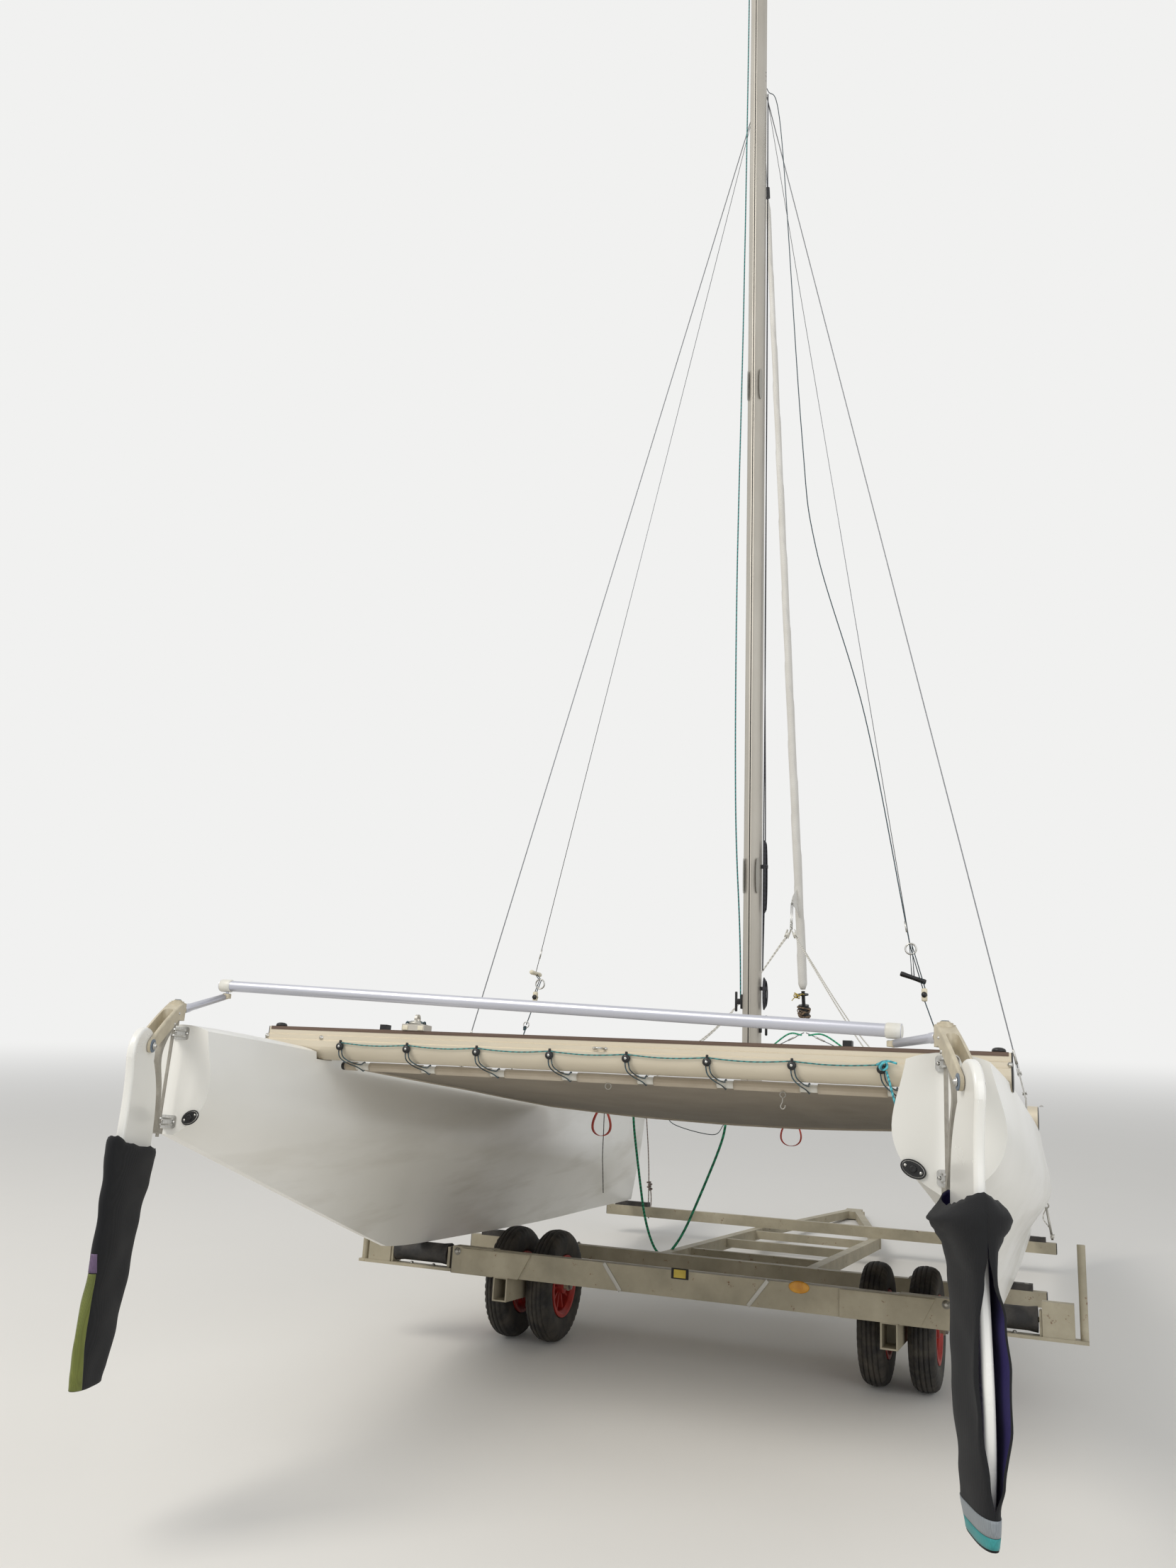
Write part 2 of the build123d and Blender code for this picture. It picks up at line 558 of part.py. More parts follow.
def rear_crossbeam():
    """Deep beam with a larger sleeve over each end."""
    z0 = -REAR_CROSS_HEIGHT + 20
    beam = block(REAR_CROSS_X - 25, REAR_CROSS_X + 25, -REAR_CROSS_HALF, REAR_CROSS_HALF, z0, 20)
    for side in (1, -1):
        y0, y1 = sorted((side * (WHEEL_PAIR_Y + HANGER_HALF_WIDTH + 6), side * REAR_CROSS_HALF))
        beam += block(REAR_CROSS_X - 28, REAR_CROSS_X + 28, y0, y1, z0 - 3, 23)
    return TROLLEY * beam


def middle_crossbeam():
    return TROLLEY * block(-25, 25, -CROSS_HALF, CROSS_HALF, -BEAM_TUBE, 0)


def front_crossbeam():
    return TROLLEY * block(FRONT_CROSS_X - 25, FRONT_CROSS_X + 25, -CROSS_HALF, CROSS_HALF, 0, BEAM_TUBE)


def trolley_spine():
    """Two rails and the rungs between them."""
    g = SPINE_HALF_GAUGE
    spine = block(25, FRONT_CROSS_X + 25, g - 20, g + 20, -BEAM_TUBE, 0)
    spine += block(25, FRONT_CROSS_X + 25, -g - 20, -g + 20, -BEAM_TUBE, 0)
    for x in RUNG_XS:
        spine += block(x - 15, x + 15, -g, g, -40, -4)
    return TROLLEY * spine


def drawbar():
    """Two legs meeting in a nose shoe that rests on the ground."""
    g, t = SPINE_HALF_GAUGE, DRAWBAR_TUBE
    tilt = math.radians(TROLLEY_TILT)
    lx, lz = FRONT_CROSS_X + 26, -BEAM_TUBE / 2
    start_x = TROLLEY_X + lx * math.cos(tilt) + lz * math.sin(tilt)
    start_z = TROLLEY_Z - lx * math.sin(tilt) + lz * math.cos(tilt)
    shape = None
    for side in (1, -1):
        leg = square_bar((start_x, side * g, start_z), (DRAWBAR_NOSE_X, side * 24, 26), t, t)
        shape = leg if shape is None else shape + leg
    nose = block(DRAWBAR_NOSE_X - 60, DRAWBAR_NOSE_X + 50, -45, 45, 6, 46)
    shoe = y_cylinder(DRAWBAR_NOSE_X + 10, -60, 60, 20, 20)
    ring = Pos(DRAWBAR_NOSE_X + 70, 0, 26) * (Cylinder(34, 14) - Cylinder(20, 30))
    under = block(FRONT_CROSS_X - 100, FRONT_CROSS_X + 25.5, -g - 60, g + 60, -150, 0)
    return SHIFT * (shape + nose + shoe + ring) - TROLLEY * under


def axle_hanger(side):
    """Longitudinal tube between the twin wheels, with the stub axle through it."""
    y = side * WHEEL_PAIR_Y
    w, top, wall = HANGER_HALF_WIDTH, 20 - REAR_CROSS_HEIGHT, HANGER_WALL
    aft = REAR_CROSS_X - 25
    box = block(aft, 25, y - w, y + w, top - HANGER_DEPTH, top)
    box -= block(aft - 1, aft + 110, y - w + wall, y + w - wall, top - HANGER_DEPTH + wall, top - wall)
    box = TROLLEY * box
    packer = TROLLEY * block(-25, 25, y - w, y + w, top, -BEAM_TUBE)
    reach = WHEEL_OFFSET + TYRE_WIDTH / 2 + 8
    axle = SHIFT * y_cylinder(WHEEL_X, y - reach, y + reach, WHEEL_RADIUS, AXLE_RADIUS)
    washers = SHIFT * y_cylinder(WHEEL_X, y - reach - 6, y - reach, WHEEL_RADIUS, AXLE_RADIUS + 5)
    washers += SHIFT * y_cylinder(WHEEL_X, y + reach, y + reach + 6, WHEEL_RADIUS, AXLE_RADIUS + 5)
    return box + packer + axle + washers


def roller(side):
    """Rubber keel roller, waisted for the skeg."""
    y = side * HULL_CENTRE_Y
    r, h = ROLLER_RADIUS, ROLLER_HALF
    pts = [(0, -h), (r + 4, -h), (r, -h + 30), (r, h - 30), (r + 4, h), (0, h)]
    face = make_face(Plane.XY * Polyline(*pts, close=True))
    shape = revolve(face, Axis.Y)
    shape -= y_cylinder(0, -h - 1, h + 1, 0, 8.4)
    return TROLLEY * Pos(ROLLER_X, y, ROLLER_Z) * shape


def roller_bracket(side):
    """Strap, end plates, roller pin and the outer guide post."""
    c = HULL_CENTRE_Y
    y_in, y_out = c - ROLLER_HALF - 14, c + ROLLER_HALF + 4
    sets = [
        block(REAR_CROSS_X - 25, REAR_CROSS_X + 25, REAR_CROSS_HALF, c + 250, -65, -55),
        block(ROLLER_X - 30, ROLLER_X + 30, y_in, y_in + 10, -56, 16),
        block(ROLLER_X - 30, ROLLER_X + 30, y_out, y_out + 10, -56, 16),
        block(REAR_CROSS_X - 22, REAR_CROSS_X + 22, y_out + 9, c + 212, -56, 44),
        y_cylinder(ROLLER_X, y_in - 6, y_out + 12, ROLLER_Z, 8.0),
        rod((REAR_CROSS_X, c + 238, -56), (REAR_CROSS_X, c + 238, 214), 12.0),
    ]
    shape = sets[0]
    for item in sets[1:]:
        shape += item
    if side < 0:
        shape = mirror(shape, Plane.XZ)
    return TROLLEY * shape


def hull_pads():
    """Rubber pads under the keels on the middle and front crossbeams."""
    shapes = []
    for x, z in ((0, 0), (FRONT_CROSS_X, BEAM_TUBE)):
        for side in (1, -1):
            y = side * (HULL_CENTRE_Y - 20)
            shapes.append(block(x - 25, x + 25, y - 90, y + 90, z, z + PAD_THICKNESS - 2))
    return TROLLEY * Compound(children=shapes)


def wheel_place(y):
    return SHIFT * Location((WHEEL_X, y, WHEEL_RADIUS))


def tyre(y):
    r, w, b = WHEEL_RADIUS, TYRE_WIDTH / 2, RIM_RADIUS + 1.0
    outer = Spline((b + 14, w - 4), (b + 48, w), (r - 14, w - 10), (r, 0), (r - 14, -w + 10),
                   (b + 48, -w), (b + 14, -w + 4))
    inner = Polyline((b + 14, -w + 4), (b, -w + 14), (b, w - 14), (b + 14, w - 4))
    face = make_face(Plane.XY * (Curve() + [outer, inner]))
    return wheel_place(y) * revolve(face, Axis.Y)


def rim(y):
    """Spoked rim with a deep hub."""
    r, w = RIM_RADIUS, RIM_WIDTH / 2
    band = Polyline((r, -w + 6), (r, w - 6), (r + 7, w - 3), (r + 7, w + 3), (r - 4, w + 3),
                    (r - 14, w - 10), (r - 14, -w + 10), (r - 4, -w - 3), (r + 7, -w - 3),
                    (r + 7, -w + 3), close=True)
    ring = revolve(make_face(Plane.XY * band), Axis.Y)
    hub = y_cylinder(0, -38, 38, 0, 26)
    shape = ring + hub
    for i in range(SPOKES):
        spoke = Rot(0, 360.0 * i / SPOKES, 0) * block(20, r - 10, -22, 22, -4, 4)
        shape += spoke
    shape -= y_cylinder(0, -60, 60, 0, AXLE_RADIUS + BORE_CLEARANCE)
    return wheel_place(y) * shape


def sided(name, side):
    return name + ("_port" if side > 0 else "_starboard")


def main():
    os.makedirs("parts", exist_ok=True)
    hulls = {side: hull(side) for side in (1, -1)}
    nodes = {
        "rear_beam": rear_beam(),
        "main_beam": main_beam(),
        "trampoline": trampoline(),
        "trampoline_hem_tube": hem_tube(),
        "chainplates": chainplates(hulls),
        "forestay": forestay(),
        "jib_roll": jib_roll(),
        "furler": furler(),
        "mast_step": mast_step(),
        "mast_tube": mast_tube(),
        "mast_fittings": mast_fittings(),
        "track_stops": track_stops(),
        "traveller_car": traveller_car(),
        "deck_hatches": hatches(hulls),
        "tiller_crossbar": tiller_crossbar(),
        "trolley_rear_crossbeam": rear_crossbeam(),
        "trolley_middle_crossbeam": middle_crossbeam(),
        "trolley_front_crossbeam": front_crossbeam(),
        "trolley_spine": trolley_spine(),
        "trolley_drawbar": drawbar(),
        "hull_pads": hull_pads(),
    }
    for side in (1, -1):
        nodes[sided("hull", side)] = hulls[side]
        nodes[sided("transom_fittings", side)] = transom_fittings(side)
        nodes[sided("shroud", side)] = shroud(side)
        nodes[sided("bridle", side)] = bridle(side)
        nodes[sided("rudder_stock", side)] = rudder_stock(side)
        nodes[sided("rudder_head", side)] = rudder_head(side)
        nodes[sided("rudder_blade", side)] = rudder_blade(side)
        nodes[sided("rudder_cover", side)] = rudder_cover(side)
        nodes[sided("axle_hanger", side)] = axle_hanger(side)
        nodes[sided("keel_roller", side)] = roller(side)
        nodes[sided("roller_bracket", side)] = roller_bracket(side)
        for word, offset in (("outer", WHEEL_OFFSET), ("inner", -WHEEL_OFFSET)):
            y = side * (WHEEL_PAIR_Y + offset)
            nodes[sided("tyre", side) + "_" + word] = tyre(y)
            nodes[sided("rim", side) + "_" + word] = rim(y)
    for name, shape in nodes.items():
        export_step(shape, "parts/" + name + ".step")


main()
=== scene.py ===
import math
import random

import bmesh
import bpy
from bpy.props import FloatProperty, FloatVectorProperty, IntProperty, PointerProperty
from mathutils import Matrix, Vector, noise


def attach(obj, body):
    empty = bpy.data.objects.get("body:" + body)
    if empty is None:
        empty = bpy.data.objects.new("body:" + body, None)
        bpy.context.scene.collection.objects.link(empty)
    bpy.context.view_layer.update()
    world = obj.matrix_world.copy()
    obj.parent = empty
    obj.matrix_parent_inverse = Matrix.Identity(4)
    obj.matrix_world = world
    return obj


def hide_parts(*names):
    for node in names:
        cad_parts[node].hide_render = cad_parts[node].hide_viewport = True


bl_info = {
    "name": "Beach catamaran on its trolley",
    "version": (1, 0, 0),
    "blender": (4, 5, 0),
    "location": "3D View > Sidebar > Catamaran",
    "description": "Dresses the packed boat and trolley with cloth, cordage, fittings and finishes",
    "category": "Object",
}

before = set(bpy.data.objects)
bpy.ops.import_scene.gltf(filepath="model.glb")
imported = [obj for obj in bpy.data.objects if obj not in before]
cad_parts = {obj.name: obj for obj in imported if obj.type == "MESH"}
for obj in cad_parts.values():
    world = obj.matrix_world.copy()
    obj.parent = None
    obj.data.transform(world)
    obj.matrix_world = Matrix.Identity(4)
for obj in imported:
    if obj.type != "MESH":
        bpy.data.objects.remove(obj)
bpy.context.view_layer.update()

# Placing, in metres and degrees, the same as the solids
FRAME_SHIFT = 2.1912
TRANSOM_HEIGHT = 1.164
BOAT_PITCH = 7.05
TROLLEY_ORIGIN = (2.050 - FRAME_SHIFT, 0.0, 0.268)
TROLLEY_TILT = 6.0
MAST_FOOT = (2.310, 0.0, 0.034)
MAST_RAKE = 4.77
HULL_Y = 1.005
PINTLE_X = -0.036
RUDDER_ANGLE = 19.4
TILLER_ARM, TILLER_SPREAD = 0.175, 27.0
TILLER_TIP_PORT_Z, TILLER_TIP_STARBOARD_Z = 0.100, 0.027
CROSSBAR_LIFT, CROSSBAR_OVERHANG = 0.029, 0.022
BLADE_PIVOT_X, BLADE_PIVOT_Z = -0.216, -0.066
HEAD_TOP_Z = 0.060
REAR_BEAM_X, REAR_BEAM_TOP = 0.550, 0.053
MAIN_BEAM_X, MAIN_BEAM_Z, MAIN_BEAM_RADIUS = 2.310, -0.045, 0.045
BEAM_END = 1.107
TRAVELLER_Y = 0.592
HEM_X, HEM_Z = 0.612, -0.054
CHAINPLATE_X, CHAINPLATE_Y, CHAINPLATE_FOOT_Z = 1.812, 1.086, 0.006
SHROUD_LEAN = 12.6
HATCH_X = 1.420
EYE_ZS = (-0.018, -0.250)
WHEEL_X, WHEEL_R, WHEEL_PAIR_Y = 1.672, 0.195, 0.673
WHEEL_OFFSET = 0.081      # each wheel from the middle of its pair
REAR_CROSS_X, REAR_CROSS_HALF = -0.654, 0.868
FRONT_CROSS_X, CROSS_HALF = 1.599, 1.120
RUNG_XS = (0.330, 0.880, 1.420)

SHIFT = Matrix.Translation((-FRAME_SHIFT, 0, 0))
BOAT = SHIFT @ Matrix.Translation((0, 0, TRANSOM_HEIGHT)) @ Matrix.Rotation(math.radians(BOAT_PITCH), 4, "Y")
TROLLEY = Matrix.Translation(TROLLEY_ORIGIN) @ Matrix.Rotation(math.radians(TROLLEY_TILT), 4, "Y")
MAST = BOAT @ Matrix.Translation(MAST_FOOT) @ Matrix.Rotation(math.radians(-MAST_RAKE), 4, "Y")
STAY_TOP = MAST @ Vector((0.084, 0.0, 4.800))
DRUM = BOAT @ Vector((3.330, 0.0, 0.455))
ROOT = "boat_and_trolley"

# Camera, fitted to the photograph's straight edges
CAMERA_X, CAMERA_Y, CAMERA_Z = -2.753 - FRAME_SHIFT, -1.272, 1.293
CAMERA_YAW, CAMERA_PITCH, CAMERA_ROLL = 21.808, 9.412, 1.139
FOCAL_PX, FRAME_WIDTH_PX = 1725.0, 1659.0


def rudder_frame(side):
    """Frame on one pintle line, its x forward along the blade."""
    place = Matrix.Translation((PINTLE_X, side * HULL_Y, 0))
    return BOAT @ place @ Matrix.Rotation(math.radians(RUDDER_ANGLE), 4, "Z")


def tiller_tip(side):
    """End of a tiller arm, in the boat's own frame."""
    turn = math.radians(RUDDER_ANGLE - side * TILLER_SPREAD)
    z = TILLER_TIP_PORT_Z if side > 0 else TILLER_TIP_STARBOARD_Z
    return (PINTLE_X + TILLER_ARM * math.cos(turn), side * HULL_Y + TILLER_ARM * math.sin(turn), z)


def linear(code):
    """sRGB hex code as linear red, green, blue and full alpha."""
    parts = [int(code[i:i + 2], 16) / 255 for i in (1, 3, 5)]
    return tuple(c / 12.92 if c <= 0.04045 else ((c + 0.055) / 1.055) ** 2.4 for c in parts) + (1.0,)


def add(tree, kind, inputs=None, **settings):
    """Adds one node, with its settings, values and links."""
    made = tree.nodes.new(kind)
    for key, value in settings.items():
        setattr(made, key, value)
    for key, value in (inputs or {}).items():
        if isinstance(value, bpy.types.NodeSocket):
            tree.links.new(value, made.inputs[key])
        else:
            made.inputs[key].default_value = value
    return made


def ramp(tree, source, stops):
    """Colour ramp over a value, from (position, hex) pairs."""
    made = add(tree, "ShaderNodeValToRGB", {"Fac": source})
    points = made.color_ramp.elements
    while len(points) < len(stops):
        points.new(0.5)
    for point, (place, code) in zip(points, stops):
        point.position = place
        point.color = linear(code)
    return made.outputs["Color"]


def blend_colour(tree, factor, first, second, mode="MIX"):
    made = add(tree, "ShaderNodeMix", data_type="RGBA", blend_type=mode)
    for socket, value in ((made.inputs[0], factor), (made.inputs[6], first), (made.inputs[7], second)):
        if isinstance(value, bpy.types.NodeSocket):
            tree.links.new(value, socket)
        else:
            socket.default_value = value
    return made.outputs[2]


def start(name, roughness, metallic=0.0, ior=1.5, **fixed):
    """New material with its shader, ready for colour, roughness and bump."""
    made = bpy.data.materials.new(name)
    made.use_nodes = True
    tree = made.node_tree
    shader = tree.nodes["Principled BSDF"]
    shader.inputs["Roughness"].default_value = roughness
    shader.inputs["Metallic"].default_value = metallic
    shader.inputs["IOR"].default_value = ior
    for key, value in fixed.items():
        shader.inputs[key.replace("_", " ")].default_value = value
    place = add(tree, "ShaderNodeTexCoord").outputs["Object"]
    return made, tree, shader, place


def noise_at(tree, place, per_metre, detail=4.0, rough=0.55, stretch=None):
    """Noise with so many waves to the metre, drawn out along an axis if asked."""
    if stretch:
        place = add(tree, "ShaderNodeMapping", {"Vector": place, "Scale": stretch}).outputs["Vector"]
    made = add(tree, "ShaderNodeTexNoise", {"Vector": place, "Scale": per_metre, "Detail": detail,
                                            "Roughness": rough})
    return made.outputs["Fac"]


def bump(tree, shader, height, distance, strength=1.0):
    made = add(tree, "ShaderNodeBump", {"Height": height, "Distance": distance, "Strength": strength})
    tree.links.new(made.outputs["Normal"], shader.inputs["Normal"])


def spread(tree, value, low, high):
    return add(tree, "ShaderNodeMapRange", {"Value": value, "To Min": low, "To Max": high}).outputs["Result"]


def gelcoat():
    """Polyester gelcoat, moulded: smooth and glossy, a little chalked, with faint drawn-out scuffs."""
    made, tree, shader, place = start("gelcoat", 0.24, ior=1.52, Coat_Weight=0.25, Coat_Roughness=0.12)
    cloud = noise_at(tree, place, 1.6, 3.0)
    scuff = noise_at(tree, place, 9.0, 5.0, 0.6, (0.15, 1.0, 1.0))
    base = ramp(tree, cloud, [(0.3, "#E2E0D8"), (0.7, "#ECEAE4")])
    mask = add(tree, "ShaderNodeMapRange", {"Value": scuff, "From Min": 0.60, "From Max": 0.78,
                                            "To Max": 0.22}).outputs["Result"]
    tree.links.new(blend_colour(tree, mask, base, linear("#C4BDAD")), shader.inputs["Base Color"])
    tree.links.new(spread(tree, scuff, 0.18, 0.34), shader.inputs["Roughness"])
    bump(tree, shader, cloud, 0.0008, 0.2)
    return made


def bottom_gelcoat():
    """The same gelcoat low on the hulls: streaked with sand and rubbed matt below the sides."""
    made, tree, shader, place = start("scuffed_gelcoat", 0.3, ior=1.52, Coat_Weight=0.15, Coat_Roughness=0.2)
    streak = noise_at(tree, place, 6.0, 4.0, 0.6, (0.25, 1.0, 1.6))
    cloud = noise_at(tree, place, 1.6, 3.0)
    base = ramp(tree, cloud, [(0.3, "#E2E0D8"), (0.7, "#ECEAE4")])
    height = add(tree, "ShaderNodeSeparateXYZ", {"Vector": place}).outputs["Z"]
    low = add(tree, "ShaderNodeMapRange", {"Value": height, "From Min": 0.98, "From Max": 0.55,
                                           "To Max": 0.36}).outputs["Result"]
    dirt = add(tree, "ShaderNodeMapRange",
               {"Value": streak, "From Min": 0.48, "From Max": 0.70}).outputs["Result"]
    mask = add(tree, "ShaderNodeMath", {0: low, 1: dirt}, operation="MULTIPLY").outputs["Value"]
    tree.links.new(blend_colour(tree, mask, base, linear("#B3AC9B")), shader.inputs["Base Color"])
    tree.links.new(spread(tree, mask, 0.34, 0.46), shader.inputs["Roughness"])
    bump(tree, shader, cloud, 0.0008, 0.2)
    return made


def painted_shade_slot():
    """Painted shade for a groove or recess: a near-black colour standing in for the shadow inside it, left matt and
    faintly mottled.
    """
    made, tree, shader, place = start("painted_shade_groove", 0.8)
    base = ramp(tree, noise_at(tree, place, 40.0), [(0.3, "#141312"), (0.7, "#262422")])
    tree.links.new(base, shader.inputs["Base Color"])
    bump(tree, shader, noise_at(tree, place, 200.0), 0.0002, 0.2)
    return made


def anodised(name, light, dark, roughness, along=(1.0, 0.02, 1.0), metallic=0.75):
    """Aluminium, extruded and anodised: satin, with fine die lines along its length."""
    made, tree, shader, place = start(name, roughness, metallic)
    lines = noise_at(tree, place, 260.0, 3.0, 0.6, along)
    stain = noise_at(tree, place, 3.0, 4.0, 0.55, tuple(0.4 + 0.6 * a for a in along))
    base = ramp(tree, stain, [(0.3, dark), (0.65, light)])
    tree.links.new(base, shader.inputs["Base Color"])
    tree.links.new(spread(tree, lines, roughness - 0.08, roughness + 0.14), shader.inputs["Roughness"])
    bump(tree, shader, lines, 0.0002, 0.3)
    return made


def cast_alloy(name, rubbed, plain, light):
    """Aluminium, sand cast and painted, rubbed at its corners: faintly pebbled."""
    made, tree, shader, place = start(name, 0.5, 0.25)
    grit = noise_at(tree, place, 700.0, 3.0)
    wear = noise_at(tree, place, 28.0, 6.0, 0.65)
    base = ramp(tree, wear, [(0.35, rubbed), (0.55, plain), (0.75, light)])
    tree.links.new(base, shader.inputs["Base Color"])
    tree.links.new(spread(tree, wear, 0.35, 0.65), shader.inputs["Roughness"])
    bump(tree, shader, grit, 0.0004, 0.35)
    return made


def steel(name, tone, roughness, low="#A3A19B"):
    """Stainless steel, drawn and polished by wear: bright with soft streaks."""
    made, tree, shader, place = start(name, roughness, 1.0)
    streak = noise_at(tree, place, 320.0, 3.0, 0.6, (1.0, 1.0, 0.15))
    base = ramp(tree, streak, [(0.2, low), (0.7, tone)])
    tree.links.new(base, shader.inputs["Base Color"])
    tree.links.new(spread(tree, streak, roughness - 0.1, roughness + 0.15), shader.inputs["Roughness"])
    bump(tree, shader, streak, 0.0002, 0.2)
    return made


def plastic(name, light, dark, roughness, grain=300.0):
    """Moulded plastic: even colour with a fine moulded grain and dulled patches."""
    made, tree, shader, place = start(name, roughness, ior=1.46)
    wear = noise_at(tree, place, 22.0, 5.0)
    grit = noise_at(tree, place, grain, 2.0)
    base = ramp(tree, wear, [(0.3, dark), (0.7, light)])
    tree.links.new(base, shader.inputs["Base Color"])
    tree.links.new(spread(tree, wear, roughness - 0.08, roughness + 0.15), shader.inputs["Roughness"])
    bump(tree, shader, grit, 0.0003, 0.25)
    return made


def trolley_paint():
    """Grey paint on steel tube, brushed on and weathered: chalky, chipped to rust at the edges."""
    made, tree, shader, place = start("trolley_paint", 0.55, 0.0, ior=1.5)
    cloud = noise_at(tree, place, 5.0, 6.0, 0.6)
    chips = noise_at(tree, place, 34.0, 8.0, 0.72)
    base = ramp(tree, cloud, [(0.3, "#8D8672"), (0.55, "#A49B85"), (0.75, "#B5AD97")])
    mask = add(tree, "ShaderNodeMapRange",
               {"Value": chips, "From Min": 0.63, "From Max": 0.68}).outputs["Result"]
    rust = ramp(tree, noise_at(tree, place, 90.0), [(0.3, "#4E3323"), (0.7, "#7A5236")])
    tree.links.new(blend_colour(tree, mask, base, rust), shader.inputs["Base Color"])
    tree.links.new(spread(tree, chips, 0.42, 0.8), shader.inputs["Roughness"])
    bump(tree, shader, chips, 0.0006, 0.35)
    return made


def rubber(name, light, dark, roughness):
    """Vulcanised rubber, moulded: near black, dusty where it has met sand."""
    made, tree, shader, place = start(name, roughness, ior=1.52)
    dust = noise_at(tree, place, 14.0, 7.0, 0.65)
    grit = noise_at(tree, place, 500.0, 3.0)
    base = ramp(tree, dust, [(0.4, dark), (0.72, light)])
    tree.links.new(base, shader.inputs["Base Color"])
    tree.links.new(spread(tree, dust, roughness - 0.1, roughness + 0.1), shader.inputs["Roughness"])
    bump(tree, shader, grit, 0.0004, 0.4)
    return made


def rim_paint():
    """Red enamel on pressed steel, faded and chipped: thin gloss with rust at the chips."""
    made, tree, shader, place = start("rim_paint", 0.4, ior=1.5)
    fade = noise_at(tree, place, 20.0, 5.0)
    chips = noise_at(tree, place, 90.0, 7.0, 0.7)
    base = ramp(tree, fade, [(0.3, "#8E1F1B"), (0.7, "#B9352B")])
    mask = add(tree, "ShaderNodeMapRange",
               {"Value": chips, "From Min": 0.62, "From Max": 0.67}).outputs["Result"]
    tree.links.new(blend_colour(tree, mask, base, linear("#5A3A2A")), shader.inputs["Base Color"])
    tree.links.new(spread(tree, chips, 0.3, 0.7), shader.inputs["Roughness"])
    bump(tree, shader, chips, 0.0003, 0.3)
    return made


def woven(name, light, dark, thread_mm, roughness, depth=0.0003, sheen=0.1):
    """Woven cloth: warp and weft drawn as two crossed waves at the thread spacing."""
    made, tree, shader, place = start(name, roughness, ior=1.45, Sheen_Weight=sheen, Sheen_Roughness=0.5)
    waves = []
    for axis in ("X", "Y"):
        made_wave = add(tree, "ShaderNodeTexWave", {"Vector": place, "Scale": 100.0 * math.pi / thread_mm},
                        wave_type="BANDS", bands_direction=axis)
        waves.append(made_wave.outputs["Fac"])
    weave = add(tree, "ShaderNodeMath", {0: waves[0], 1: waves[1]}, operation="MULTIPLY").outputs["Value"]
    stain = noise_at(tree, place, 4.0, 6.0, 0.6)
    base = ramp(tree, stain, [(0.3, dark), (0.7, light)])
    shade = blend_colour(tree, spread(tree, weave, 0.35, 0.0), base, linear(dark), "MULTIPLY")
    tree.links.new(shade, shader.inputs["Base Color"])
    tree.links.new(spread(tree, stain, roughness - 0.05, roughness + 0.1), shader.inputs["Roughness"])
    bump(tree, shader, weave, depth, 0.5)
    return made


def rope(name, light, dark):
    """Braided polyester line: the braid is drawn as slanted waves a few millimetres apart."""
    made, tree, shader, place = start(name, 0.7, ior=1.5, Sheen_Weight=0.2, Sheen_Roughness=0.5)
    braid = add(tree, "ShaderNodeTexWave", {"Vector": place, "Scale": 35.0, "Distortion": 3.0},
                wave_type="BANDS", bands_direction="DIAGONAL").outputs["Fac"]
    base = ramp(tree, braid, [(0.2, dark), (0.8, light)])
    tree.links.new(base, shader.inputs["Base Color"])
    tree.links.new(spread(tree, braid, 0.6, 0.85), shader.inputs["Roughness"])
    bump(tree, shader, braid, 0.0006, 0.5)
    return made


FINISHES = {}


